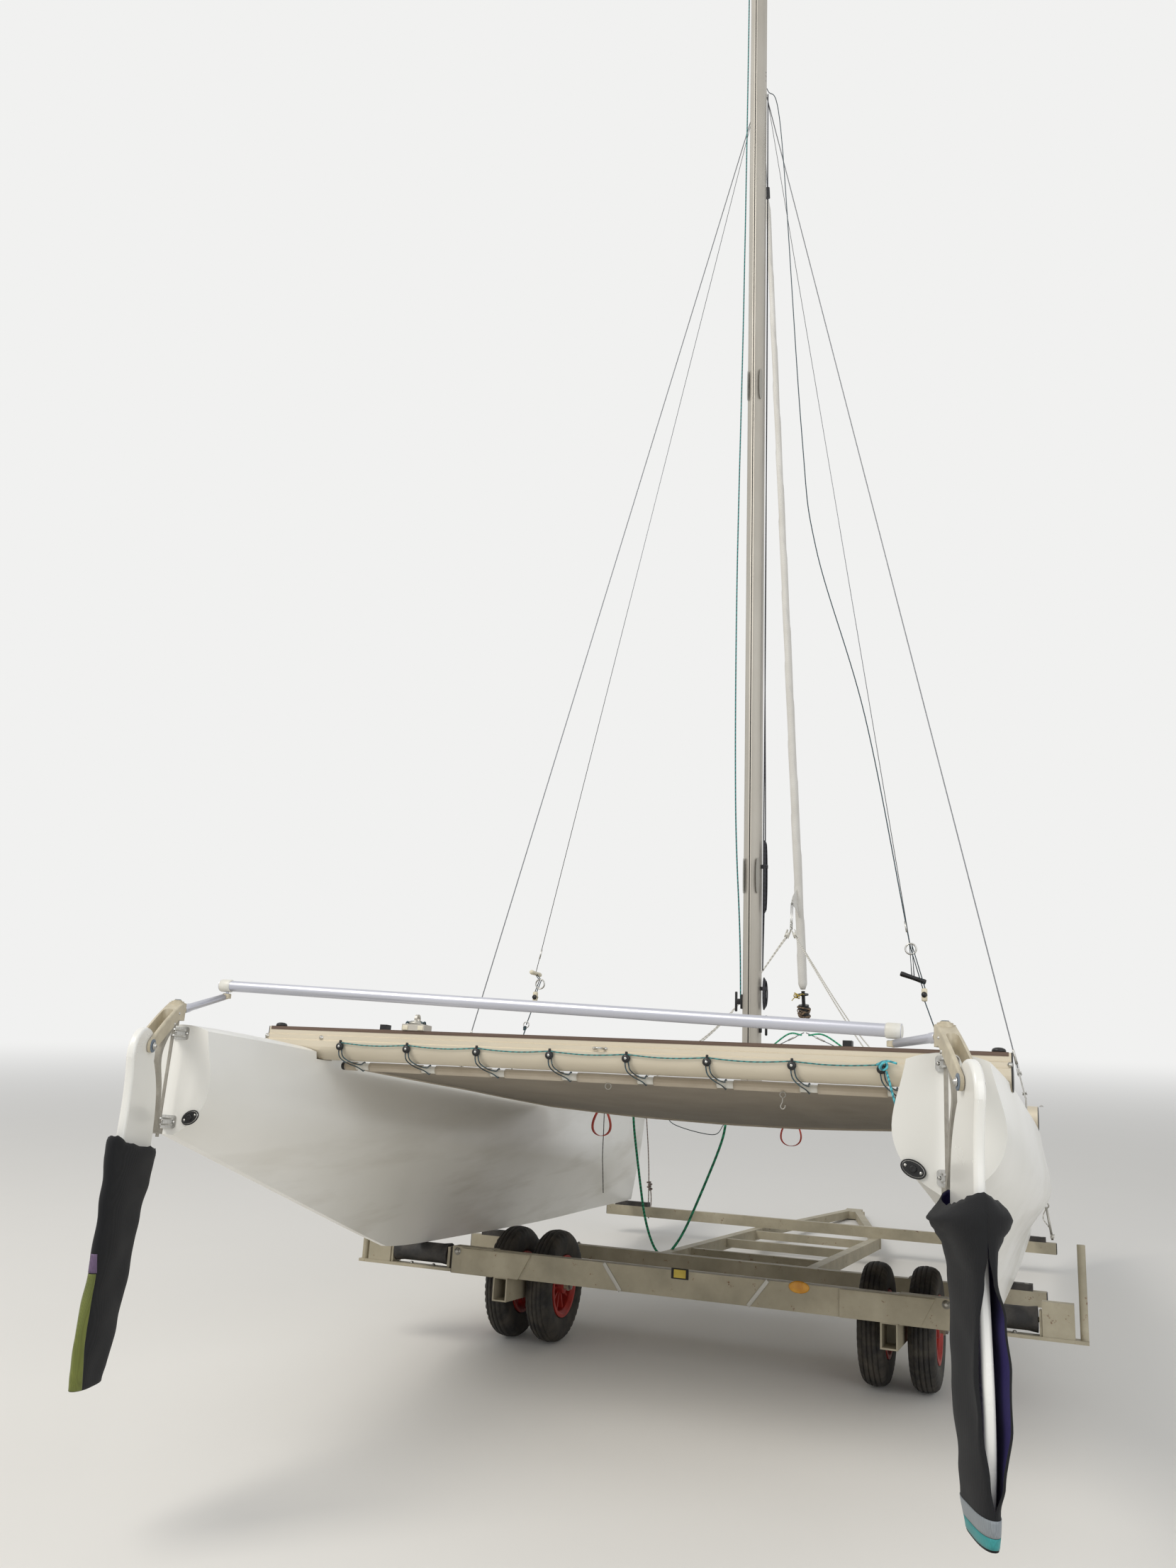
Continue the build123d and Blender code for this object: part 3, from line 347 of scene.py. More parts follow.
def make_finishes():
    FINISHES.update({
        "gelcoat": gelcoat(),
        "bottom_gelcoat": bottom_gelcoat(),
        "anodised": anodised("champagne_anodised_aluminium", "#D3C9B5", "#CBC0AA", 0.42, metallic=0.35),
        "brown_anodised": anodised("brown_anodised_aluminium", "#6A574B", "#54443B", 0.42, metallic=0.35),
        "bare_alloy": anodised("anodised_aluminium", "#C2BDB3", "#AEA89D", 0.42, (1.0, 1.0, 0.02), 0.55),
        "crossbar_alloy": anodised("bright_anodised_aluminium", "#C9CAD2", "#B4B5BE", 0.3, metallic=0.6),
        "cast_alloy": cast_alloy("cream_cast_alloy", "#B5AB95", "#C3B9A2", "#CEC5B0"),
        "grey_cast_alloy": cast_alloy("grey_cast_alloy", "#8C877D", "#9B968B", "#A8A398"),
        "stainless": steel("stainless_steel", "#C9C8C4", 0.3),
        "wire": steel("stainless_wire_rope", "#8F9194", 0.45, "#5E6064"),
        "galvanised": steel("galvanised_steel", "#A9A69E", 0.45),
        "painted_shade_slot": painted_shade_slot(),
        "net_cloth": woven("polypropylene_mesh", "#9A8F7D", "#857A69", 3.0, 0.75),
        "hem_cloth": woven("folded_polyester_hem", "#D9CFBE", "#BDB19E", 2.0, 0.7),
        "sail_cloth": woven("polyester_sailcloth", "#E9E7E2", "#D8D5CE", 2.0, 0.55),
        "cover_cloth": woven("black_canvas", "#131418", "#090A0C", 2.5, 0.85, 0.0005, 0.02),
        "cover_lining": woven("violet_polyester_lining", "#2C1F66", "#1A1340", 2.0, 0.6, 0.0003, 0.04),
        "faded_lining": woven("faded_violet_lining", "#7A6482", "#574661", 2.0, 0.65),
        "green_tape": woven("yellow_green_tape", "#7E8438", "#57602A", 2.0, 0.6),
        "grey_tape": woven("grey_tape", "#9AA0A4", "#7C8286", 2.0, 0.6),
        "turquoise_tape": woven("turquoise_tape", "#3FA7A6", "#2B7F80", 2.0, 0.6),
        "black_plastic": plastic("black_acetal", "#1D1D1F", "#101011", 0.4),
        "white_plastic": plastic("white_polyethylene", "#E6E4DC", "#D2CEC2", 0.4),
        "cream_plastic": plastic("cream_nylon", "#E2DAC4", "#C9BFA5", 0.45),
        "amber_plastic": plastic("amber_acrylic", "#DBA23C", "#BE7F26", 0.25, 600.0),
        "yellow_plate": plastic("yellow_polymer", "#C9B24A", "#A8923A", 0.5),
        "blue_grey_washer": plastic("blue_grey_nylon", "#7C8792", "#626C77", 0.5),
        "trolley_paint": trolley_paint(),
        "pad_rubber": rubber("pad_rubber", "#4A4540", "#1C1B1A", 0.7),
        "tyre": rubber("tyre_rubber", "#4C463D", "#191817", 0.75),
        "rim_paint": rim_paint(),
        "teal_line": rope("teal_braided_polyester", "#3F8F8C", "#1D5557"),
        "light_teal_line": rope("light_teal_braided_polyester", "#58BAC4", "#2C7F8C"),
        "dark_teal_line": rope("dark_teal_braided_polyester", "#39525A", "#1C2C33"),
        "green_line": rope("green_braided_polyester", "#38B183", "#1B7655"),
        "painter_line": rope("faded_braided_polyester", "#8F8076", "#5C4F48"),
        "grey_line": rope("grey_braided_polyester", "#6A655F", "#3C3936"),
        "black_line": rope("black_braided_polyester", "#34343C", "#121217"),
        "brown_line": rope("brown_braided_polyester", "#8A7358", "#4A3A2B"),
        "yellow_line": rope("yellow_braided_polyester", "#C4A93C", "#8A7426"),
        "white_line": rope("white_braided_polyester", "#E4E1D8", "#B5B0A4"),
        "orange_webbing": woven("orange_polyester_webbing", "#E8532F", "#BE3A20", 2.0, 0.7),
    })


NODE_FINISH = (
    ("hull_pads", "pad_rubber"), ("hull_", "bottom_gelcoat"), ("rear_beam", "anodised"),
    ("main_beam", "anodised"),
    ("trampoline_hem_tube", "white_plastic"), ("trampoline", "net_cloth"), ("chainplates", "stainless"),
    ("forestay", "wire"), ("shroud", "wire"), ("bridle", "wire"), ("jib_", "sail_cloth"),
    ("furler", "black_plastic"), ("mast_", "bare_alloy"), ("track_stops", "black_plastic"),
    ("traveller", "bare_alloy"), ("deck_hatches", "white_plastic"), ("tiller_crossbar", "crossbar_alloy"),
    ("transom_fittings", "stainless"), ("rudder_stock", "grey_cast_alloy"), ("rudder_head", "cast_alloy"),
    ("rudder_blade", "gelcoat"), ("rudder_cover", "cover_cloth"), ("keel_roller", "pad_rubber"),
    ("tyre_", "tyre"), ("rim_", "rim_paint"), ("trolley_", "trolley_paint"), ("axle_hanger", "trolley_paint"),
    ("roller_bracket", "trolley_paint"),
)


def finish_of(name):
    for key, finish in NODE_FINISH:
        if name.startswith(key):
            return FINISHES[finish]
    raise ValueError("no finish for " + name)


def put(mesh_object, finish, body):
    """Gives a new piece its finish and the body that it rides on."""
    mesh_object.data.materials.clear()
    mesh_object.data.materials.append(FINISHES[finish])
    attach(mesh_object, body)
    return mesh_object


def from_bmesh(name, bm, smooth=True):
    mesh = bpy.data.meshes.new(name)
    bm.to_mesh(mesh)
    bm.free()
    for face in mesh.polygons:
        face.use_smooth = smooth
    made = bpy.data.objects.new(name, mesh)
    bpy.context.collection.objects.link(made)
    return made


def aim(camera):
    """Points the camera as the photograph was taken."""
    yaw, pitch, roll = (math.radians(a) for a in (CAMERA_YAW, CAMERA_PITCH, CAMERA_ROLL))
    ahead = Vector((math.cos(pitch) * math.cos(yaw), math.cos(pitch) * math.sin(yaw), math.sin(pitch)))
    level = Vector((math.sin(yaw), -math.cos(yaw), 0))
    over = level.cross(ahead)
    right = math.cos(roll) * level + math.sin(roll) * over
    up = -math.sin(roll) * level + math.cos(roll) * over
    turn = Matrix((right, up, -ahead)).transposed().to_4x4()
    camera.matrix_world = Matrix.Translation((CAMERA_X, CAMERA_Y, CAMERA_Z)) @ turn


def boat(x, y, z):
    """Point given in the boat's own frame."""
    return BOAT @ Vector((x, y, z))


def upright(origin, along, level=Vector((0, 0, 1))):
    """Matrix at a point with its z along a direction."""
    z = Vector(along).normalized()
    x = z.orthogonal().normalized() if abs(z.dot(level)) > 0.99 else level.cross(z).normalized()
    return Matrix.Translation(origin) @ Matrix((x, z.cross(x), z)).transposed().to_4x4()


def tube(bm, path, radius, sides=10, closed=False):
    """Adds a round tube along a path, with one radius or one for each point."""
    points = [Vector(p) for p in path]
    count = len(points)
    radii = radius if hasattr(radius, "__len__") else [radius] * count
    rings, normal = [], None
    for i, point in enumerate(points):
        before = points[i - 1] if i or closed else point
        after = points[(i + 1) % count] if i < count - 1 or closed else point
        along = (after - before).normalized()
        normal = along.orthogonal() if normal is None else normal - along * normal.dot(along)
        normal.normalize()
        other = along.cross(normal)
        turns = [2 * math.pi * k / sides for k in range(sides)]
        rings.append([bm.verts.new(point + (normal * math.cos(a) + other * math.sin(a)) * radii[i])
                      for a in turns])
    pairs = list(zip(rings, rings[1:])) + ([(rings[-1], rings[0])] if closed else [])
    for low, high in pairs:
        for k in range(sides):
            bm.faces.new((low[k], low[(k + 1) % sides], high[(k + 1) % sides], high[k]))
    if not closed:
        bm.faces.new(rings[0][::-1])
        bm.faces.new(rings[-1])


def lathe(bm, matrix, profile, sides=24):
    """Adds a turned form, rings of (radius, height) about the matrix's z."""
    rings = []
    for r, z in profile:
        turns = [0.0] if r < 1e-6 else [2 * math.pi * k / sides for k in range(sides)]
        rings.append([bm.verts.new(matrix @ Vector((r * math.cos(a), r * math.sin(a), z))) for a in turns])
    for low, high in zip(rings, rings[1:]):
        for k in range(sides):
            j = (k + 1) % sides
            if len(low) == 1:
                bm.faces.new((low[0], high[j], high[k]))
            elif len(high) == 1:
                bm.faces.new((low[k], low[j], high[0]))
            else:
                bm.faces.new((low[k], low[j], high[j], high[k]))


def slab(bm, matrix, size, bevel=0.0):
    """Adds a block with its edges rounded."""
    made = bmesh.ops.create_cube(bm, size=1.0, matrix=matrix @ Matrix.Diagonal((*size, 1.0)))
    if bevel:
        edges = list({edge for vert in made["verts"] for edge in vert.link_edges})
        bmesh.ops.bevel(bm, geom=edges, offset=bevel, segments=2, affect="EDGES", profile=0.6)


def hoop(bm, matrix, major, minor, sides=28):
    """Adds a ring of round wire about the matrix's z."""
    turns = [2 * math.pi * k / sides for k in range(sides)]
    tube(bm, [matrix @ Vector((major * math.cos(a), major * math.sin(a), 0)) for a in turns], minor, 8, True)


def bolt_head(bm, matrix, radius):
    """Adds a washer with a domed bolt head on it."""
    lathe(bm, matrix, [(0, 0), (radius * 1.6, 0), (radius * 1.6, radius * 0.2), (radius, radius * 0.25),
                       (radius * 0.95, radius * 0.8), (radius * 0.5, radius * 1.15), (0, radius * 1.2)], 18)


def eased(points, steps=8):
    """Smooth path through points."""
    known = [Vector(p) for p in points]
    known = [known[0] * 2 - known[1]] + known + [known[-1] * 2 - known[-2]]
    path = []
    for a, b, c, d in zip(known, known[1:], known[2:], known[3:]):
        for t in (i / steps for i in range(steps)):
            path.append(0.5 * (2 * b + (c - a) * t + (2 * a - 5 * b + 4 * c - d) * t * t
                               + (3 * b - a - 3 * c + d) * t ** 3))
    return path + [known[-2]]


def smoothstep(low, high, value):
    t = min(max((value - low) / (high - low), 0.0), 1.0)
    return t * t * (3 - 2 * t)


def free_cord(name, route, diameter, finish, body=ROOT):
    """A loose line on one smooth curve."""
    curve = bpy.data.curves.new(name, "CURVE")
    curve.dimensions = "3D"
    line = curve.splines.new("NURBS")
    line.points.add(len(route) - 1)
    for point, place in zip(line.points, route):
        point.co = (*place, 1.0)
    line.order_u = 3
    line.use_endpoint_u = True
    line.resolution_u = 8
    curve.bevel_depth = diameter / 2
    curve.bevel_resolution = 2
    curve.use_fill_caps = True
    made = bpy.data.objects.new(name, curve)
    bpy.context.collection.objects.link(made)
    put(made, finish, body)
    return made


class CatamaranTrampoline(bpy.types.PropertyGroup):
    """Trampoline cloth, its edges and the sleeve round the hem tube."""

    half_width: FloatProperty(name="Half width", description="Centreline to the side edge", default=0.872,
                              unit="LENGTH")
    sag: FloatProperty(name="Sag", description="How far the front edge hangs in its middle", default=0.032,
                       unit="LENGTH")
    crease: FloatProperty(name="Crease depth", description="Depth of the fore and aft folds", default=0.006,
                          unit="LENGTH")
    sleeve_radius: FloatProperty(name="Sleeve radius", description="Cloth round the hem tube", default=0.0135,
                                 unit="LENGTH")


TRAMP_AFT, TRAMP_FRONT = 0.6235, 2.2625
HOOK_YS = tuple(0.824 - 0.231 * i for i in range(8))
LOOP_LEAN = 0.025               # the lacing loops lean this far to starboard
SPARE_HOOK_Y = -0.518           # a loose hook hangs here from the hem tube
SPARE_RING_Y = -0.013           # and a small ring here


def cloth_height(sizes, x, y):
    """Height of the cloth, sagging to the front, creased to starboard and drawn to its hooks."""
    t = (x - TRAMP_AFT) / (TRAMP_FRONT - TRAMP_AFT)
    sag = 0.002 + t * (sizes.sag - 0.002)
    z = -0.0525 - t * 0.048 - sag * (1 - (y / sizes.half_width) ** 2)
    for at, depth, width in ((-0.36, 1.0, 0.030), (-0.44, -0.7, 0.024), (-0.53, 0.8, 0.035),
                             (0.28, 0.4, 0.05)):
        wander = at + 0.035 * math.sin(2.1 * x + 9 * at)
        z += sizes.crease * depth * math.exp(-((y - wander) / width) ** 2) * smoothstep(0.0, 0.5, t) \
            * smoothstep(1.0, 0.85, t)
    z += 0.0022 * math.cos(2 * math.pi * (y - HOOK_YS[0]) / 0.231) * math.exp(-(x - TRAMP_AFT) / 0.09)
    return z + 0.0016 * noise.noise(Vector((3.0 * x, 5.0 * y, 1.7)))


class CATAMARAN_OT_trampoline(bpy.types.Operator):
    """Trampoline cloth with its hems and the sleeve round the tube behind it"""

    bl_idname = "catamaran.trampoline"
    bl_label = "Trampoline"

    def execute(self, context):
        sizes = context.scene.catamaran_trampoline
        half = sizes.half_width
        nx, ny = 70, 90
        bm = bmesh.new()
        grid = []
        for i in range(nx + 1):
            x = TRAMP_AFT + (TRAMP_FRONT - TRAMP_AFT) * i / nx
            grid.append([bm.verts.new(boat(x, y, cloth_height(sizes, x, y)))
                         for y in (-half + 2 * half * j / ny for j in range(ny + 1))])
        for low, high in zip(grid, grid[1:]):
            for j in range(ny):
                bm.faces.new((low[j], high[j], high[j + 1], low[j + 1]))
        cloth = from_bmesh("trampoline_cloth", bm)
        thick = cloth.modifiers.new("thickness", "SOLIDIFY")
        thick.thickness = 0.0014
        put(cloth, "net_cloth", ROOT)
        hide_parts("trampoline")

        bm = bmesh.new()
        for side in (1, -1):
            y = side * (half - 0.003)
            steps = [TRAMP_AFT + (TRAMP_FRONT - TRAMP_AFT) * i / 40 for i in range(41)]
            tube(bm, [boat(x, y, cloth_height(sizes, x, y) - 0.001) for x in steps], 0.0048, 8)
        ys = [-half + 2 * half * j / 60 for j in range(61)]
        tube(bm, [boat(TRAMP_FRONT - 0.003, y, cloth_height(sizes, TRAMP_FRONT, y) - 0.001) for y in ys],
             0.0048, 8)
        for x0, x1 in ((TRAMP_FRONT - 0.045, TRAMP_FRONT - 0.006), (TRAMP_AFT + 0.004, TRAMP_AFT + 0.034)):
            rows = [[bm.verts.new(boat(x, y, cloth_height(sizes, x, y) + lift))
                     for y in ys] for x, lift in ((x0, -0.0022), (x0, 0.0012), (x1, 0.0012), (x1, -0.0022))]
            for low, high in zip(rows, rows[1:] + rows[:1]):
                for j in range(len(ys) - 1):
                    bm.faces.new((low[j], high[j], high[j + 1], low[j + 1]))
        hems = put(from_bmesh("trampoline_hems", bm), "hem_cloth", ROOT)

        bm = bmesh.new()
        gaps = [y - LOOP_LEAN for y in HOOK_YS]
        edges = [half - 0.01] + [v for g in gaps for v in (g + 0.024, g - 0.024)] + [-half + 0.006]
        for a, b in zip(edges[::2], edges[1::2]):
            if a - b < 0.02:
                continue
            count = max(3, int((a - b) / 0.012))
            path = [boat(HEM_X, a + (b - a) * i / count, HEM_Z) for i in range(count + 1)]
            radii = [sizes.sleeve_radius * (1 + 0.02 * noise.noise(Vector((0, 40 * p.y, 0)))) for p in path]
            tube(bm, path, radii, 16)
            web = [boat(x, y, z) for y in (a, b) for x, z in ((HEM_X + 0.004, HEM_Z + 0.011),
                                                              (TRAMP_AFT + 0.008, HEM_Z + 0.002))]
            bm.faces.new([bm.verts.new(web[k]) for k in (0, 1, 3, 2)])
        sleeve = put(from_bmesh("hem_tube_sleeve", bm), "hem_cloth", ROOT)

        bm = bmesh.new()
        for side in (1, -1):
            lathe(bm, upright(boat(HEM_X, side * (half - 0.012), HEM_Z),
                              BOAT.to_3x3() @ Vector((0, side, 0))),
                  [(0.0106, 0), (0.0128, 0.001), (0.0128, 0.012), (0.011, 0.0145), (0, 0.0145)])
        put(from_bmesh("hem_tube_caps", bm), "black_plastic", ROOT)
        return {"FINISHED"}


class CatamaranLacing(bpy.types.PropertyGroup):
    """Hooks and lines between the rear beam and the hem tube."""

    line_radius: FloatProperty(name="Line radius", description="Lacing line", default=0.0019, unit="LENGTH")
    hook_radius: FloatProperty(name="Hook radius", description="Round plastic hook", default=0.0115,
                               unit="LENGTH")


class CATAMARAN_OT_lacing(bpy.types.Operator):
    """Eight hooks on the rear beam, a loop from each round the hem tube and the line along them"""

    bl_idname = "catamaran.lacing"
    bl_label = "Lacing"

    def execute(self, context):
        sizes = context.scene.catamaran_lacing
        face = REAR_BEAM_X - 0.040
        knobs, screws, loops, run = bmesh.new(), bmesh.new(), bmesh.new(), bmesh.new()
        aft = BOAT.to_3x3() @ Vector((-1, 0, 0))
        for y in HOOK_YS:
            place = upright(boat(face + 0.002, y, -0.003), aft)
            r = sizes.hook_radius
            lathe(knobs, place, [(0, 0), (r * 0.7, 0), (r * 0.62, 0.005), (r, 0.008), (r, 0.013),
                                 (r * 0.8, 0.0155), (0, 0.0158)], 20)
            slab(knobs, place @ Matrix.Translation((0, r + 0.002, 0.008)), (0.007, 0.012, 0.007), 0.0022)
            lathe(screws, place @ Matrix.Translation((0, 0, 0.0155)), [(0, 0), (0.0042, 0), (0.0036, 0.0016),
                                                                     (0, 0.002)], 12)
            lean = LOOP_LEAN
            drop = ((face - 0.006, 0.004, -0.006), (face - 0.005, -0.002, -0.034),
                    (0.537, -0.5 * lean, -0.050),
                    (0.583, -0.8 * lean, -0.058), (HEM_X - 0.010, -lean, HEM_Z - 0.011),
                    (HEM_X, -lean, HEM_Z - 0.0135),
                    (HEM_X + 0.0115, -lean, HEM_Z - 0.004), (HEM_X + 0.004, -lean, HEM_Z + 0.013),
                    (HEM_X - 0.010, -lean, HEM_Z + 0.0085), (0.585, -1.15 * lean, -0.050),
                    (0.54, -0.9 * lean, -0.0465),
                    (face - 0.002, -0.45 * lean, -0.032), (face - 0.006, -0.006, -0.006))
            tube(loops, eased([boat(px, y + py, pz) for px, py, pz in drop], 4), sizes.line_radius, 6)
            hoop(loops, place @ Matrix.Translation((0, 0, 0.0065)), 0.0098, sizes.line_radius, 18)
        for a, b in zip(HOOK_YS, HOOK_YS[1:]):
            path = [boat(face - 0.006, a + (b - a) * t, 0.0085 - 0.006 * math.sin(math.pi * t)) for t in
                    (k / 10 for k in range(11))]
            tube(run, path, sizes.line_radius, 6)
        put(from_bmesh("lacing_hooks", knobs), "black_plastic", ROOT)
        put(from_bmesh("lacing_hook_screws", screws), "stainless", ROOT)
        put(from_bmesh("lacing_loops", loops), "dark_teal_line", ROOT)
        put(from_bmesh("lacing_run", run), "teal_line", ROOT)
        bm = bmesh.new()
        knot = boat(face - 0.014, HOOK_YS[-1] - 0.006, 0.006)
        for k in range(3):
            hoop(bm, upright(knot, (0.5 + 0.2 * k, 1 - 0.6 * k, 0.5 - 0.4 * k)), 0.0105, 0.003, 18)
        tube(bm, eased([boat(face - 0.012, HOOK_YS[-1] + 0.012, 0.008),
                        boat(face - 0.013, HOOK_YS[-1] - 0.014, 0.018),
                        boat(face - 0.012, HOOK_YS[-1] - 0.040, 0.013)], 6), 0.0028, 8)
        put(from_bmesh("lacing_knot", bm), "light_teal_line", ROOT)

        bm = bmesh.new()
        eye = Vector((HEM_X - 0.012, SPARE_HOOK_Y, HEM_Z - 0.020))
        hoop(bm, upright(boat(*eye), (1, 0.3, 0)), 0.0075, 0.0017, 18)
        bend = ((0, 0, -0.007), (0, 0.001, -0.020), (-0.001, 0.005, -0.030), (-0.002, 0.001, -0.037),
                (-0.002, -0.006, -0.035), (-0.002, -0.008, -0.027))
        tube(bm, eased([boat(*(eye + Vector(p))) for p in bend], 5), 0.0019, 8)
        hoop(bm, upright(boat(HEM_X - 0.004, SPARE_RING_Y, HEM_Z - 0.021), (1, 0.2, 0)), 0.0085, 0.0016, 20)
        put(from_bmesh("spare_lacing_hook", bm), "galvanised", ROOT)
        return {"FINISHED"}


class CatamaranCovers(bpy.types.PropertyGroup):
    """Fabric sleeves over the rudder blades."""

    fold: FloatProperty(name="Fold depth", description="Depth of the upright folds", default=0.0035,
                        unit="LENGTH")
    mouth_flare: FloatProperty(name="Mouth flare",
                               description="How far the starboard cover's mouth stands open",
                               default=1.0, min=0.0, max=1.2, subtype="FACTOR")
    slit: FloatProperty(name="Slit width", description="Widest opening behind the starboard cover",
                        default=0.050, unit="LENGTH")
    tip: FloatProperty(name="Mouth tip",
                       description="How far the starboard mouth's inboard corner sticks out",
                       default=0.016, unit="LENGTH")


# Levels of each cover in its rudder's frame, metres
COVER_COLUMNS = ("z", "front", "back", "half_width", "slit")
PORT_COVER = (
    (-0.306, -0.026, -0.289, 0.028, 0), (-0.318, -0.021, -0.295, 0.031, 0),
    (-0.345, -0.022, -0.294, 0.030, 0), (-0.400, -0.030, -0.286, 0.025, 0),
    (-0.480, -0.048, -0.282, 0.021, 0), (-0.600, -0.066, -0.283, 0.020, 0),
    (-0.730, -0.088, -0.299, 0.020, 0), (-0.815, -0.116, -0.293, 0.018, 0),
    (-0.852, -0.130, -0.286, 0.017, 0),
)
STARBOARD_COVER = (
    (-0.268, -0.046, -0.268, 0.040, 0), (-0.285, -0.036, -0.282, 0.056, 0),
    (-0.303, -0.030, -0.290, 0.066, 0), (-0.322, -0.030, -0.290, 0.062, 0),
    (-0.345, -0.032, -0.287, 0.049, 0), (-0.372, -0.033, -0.285, 0.037, 0.05),
    (-0.415, -0.036, -0.283, 0.029, 0.3), (-0.480, -0.050, -0.284, 0.027, 0.8),
    (-0.560, -0.060, -0.288, 0.028, 1.0), (-0.650, -0.075, -0.294, 0.027, 0.9),
    (-0.740, -0.090, -0.298, 0.023, 0.4), (-0.790, -0.104, -0.292, 0.020, 0),
    (-0.845, -0.128, -0.280, 0.017, 0),
)


RAG_Z = -0.290                  # height of the starboard mouth's corner


def cover_level(rows, z):
    """Front, back, half width and slit of a cover at one height."""
    table = [dict(zip(COVER_COLUMNS, row)) for row in rows]
    low = max(k for k in range(len(table) - 1) if table[k]["z"] >= z - 1e-9)
    a, b = table[low], table[low + 1]
    t = 1 - smoothstep(b["z"], a["z"], z)
    return [a[key] + (b[key] - a[key]) * t for key in COVER_COLUMNS[1:]]


def cover_point(sizes, rows, side, z, angle, grow=0.0):
    """Point of a cover's skin in its rudder's frame, or so far outside it."""
    front, back, half, _ = cover_level(rows, z)
    half = 0.030 + (half - 0.030) * sizes.mouth_flare if half > 0.030 else half
    x = (front + back) / 2 + ((front - back) / 2 + grow) * math.copysign(abs(math.cos(angle)) ** 0.72,
                                                                         math.cos(angle))
    y = (half + grow) * math.copysign(abs(math.sin(angle)) ** 0.9, math.sin(angle))
    where = Vector((3.2 * x, 9.0 * y, 5.0 * z + 3 * side))
    y += sizes.fold * noise.noise(where * 3.1) * (0.5 + abs(math.sin(angle)))
    x += 0.5 * sizes.fold * noise.noise(where * 4.3 + Vector((7, 0, 0)))
    return Vector((x, y, z))


class CATAMARAN_OT_covers(bpy.types.Operator):
    """Two canvas rudder covers, the starboard one gaping behind and flared at its mouth"""

    bl_idname = "catamaran.covers"
    bl_label = "Rudder covers"

    def cover(self, sizes, name, side, rows):
        place = rudder_frame(side)
        top, foot = rows[0][0], rows[-1][0]
        levels, count = 64, 56
        bm = bmesh.new()
        rings = []
        for i in range(levels + 1):
            z = top + (foot - top) * i / levels
            slit = cover_level(rows, z)[3] * sizes.slit
            mouth = smoothstep(top - 0.10, top, z)
            ring = []
            for k in range(count + 1):
                angle = math.pi + 2 * math.pi * k / count
                point = cover_point(sizes, rows, side, z, angle)
                open_by = math.exp(-((min(k, count - k)) / 6.0) ** 2)
                flank = 1 if k > count / 2 else -1
                point.y += flank * slit * (0.36 if flank > 0 else 0.64) * open_by
                point.x += slit * (0.25 if flank > 0 else -0.05) * open_by
                rag = mouth * (0.010 * noise.noise(Vector((13 * point.x, 30 * point.y, side)))
                               - (0.024 if side < 0 else 0.004) * math.sin(angle) ** 2
                               - (0.018 if side > 0 else 0.004) * math.cos(angle))
                if side < 0:
                    corner = mouth * max(0.0, math.sin(angle)) ** 8 * smoothstep(1.0, 0.0, abs(z - RAG_Z) / 0.03)
                    point.y += sizes.tip * corner
                    rag -= 0.5 * sizes.tip * corner
                if i < 3:
                    rag += (3 - i) / 3 * 0.005 * noise.noise(Vector((70 * point.x, 110 * point.y, 4 * side)))
                point.z += rag
                ring.append(bm.verts.new(place @ point))
            rings.append(ring)
        for low, high in zip(rings, rings[1:]):
            for k in range(count):
                bm.faces.new((low[k], high[k], high[k + 1], low[k + 1]))
        if not any(row[-1] for row in rows):
            bmesh.ops.remove_doubles(bm, verts=bm.verts[:], dist=0.0004)
        made = from_bmesh(name, bm)
        thick = made.modifiers.new("thickness", "SOLIDIFY")
        thick.thickness = 0.0016
        put(made, "cover_cloth", "blade_" + ("port" if side > 0 else "starboard"))
        made.data.materials.append(FINISHES["cover_lining"])
        thick.material_offset = 1
        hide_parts("rudder_cover_" + ("port" if side > 0 else "starboard"))
        return made

    def band(self, sizes, name, side, rows, finish, z0, z1, wrap0, wrap1):
        """Strip sewn round the back of a cover, reaching so many degrees to each side at its ends."""
        place = rudder_frame(side)
        levels, count = max(3, int(abs(z1 - z0) / 0.005)), 48
        bm = bmesh.new()
        rings = []
        for i in range(levels + 1):
            t = i / levels
            wrap = math.radians(wrap0 + (wrap1 - wrap0) * t)
            rings.append([bm.verts.new(place @ cover_point(sizes, rows, side, z0 + (z1 - z0) * t,
                                                           math.pi + wrap * (2 * k / count - 1), 0.0012))
                          for k in range(count + 1)])
        for low, high in zip(rings, rings[1:]):
            for k in range(count):
                bm.faces.new((low[k], high[k], high[k + 1], low[k + 1]))
        made = from_bmesh(name, bm)
        thick = made.modifiers.new("thickness", "SOLIDIFY")
        thick.thickness = 0.0009
        return put(made, finish, "blade_" + ("port" if side > 0 else "starboard"))

    def execute(self, context):
        sizes = context.scene.catamaran_covers
        port = self.cover(sizes, "rudder_cover_cloth_port", 1, PORT_COVER)
        starboard = self.cover(sizes, "rudder_cover_cloth_starboard", -1, STARBOARD_COVER)
        sewn = [self.band(sizes, "rudder_cover_edge_tape", 1, PORT_COVER, "green_tape",
                          -0.600, -0.851, 24, 52),
                self.band(sizes, "rudder_cover_patch", 1, PORT_COVER, "faded_lining", -0.556, -0.598, 17, 27)]
        bands = [self.band(sizes, "rudder_cover_band_grey", -1, STARBOARD_COVER, "grey_tape", -0.794, -0.8215,
                           180, 180),
                 self.band(sizes, "rudder_cover_band_turquoise", -1, STARBOARD_COVER, "turquoise_tape",
                           -0.8225,
                           -0.841, 180, 180)]
        return {"FINISHED"}


class CatamaranJib(bpy.types.PropertyGroup):
    """Jib rolled on its forestay."""

    turns: IntProperty(name="Turns", description="Times the leech winds round the roll", default=11)
    ridge: FloatProperty(name="Ridge", description="Step where the cloth's edge lies", default=0.0028,
                         unit="LENGTH")


def stay_at(fraction):
    """Point on the forestay, 0 at the hounds and 1 at the drum."""
    return STAY_TOP.lerp(DRUM, fraction)


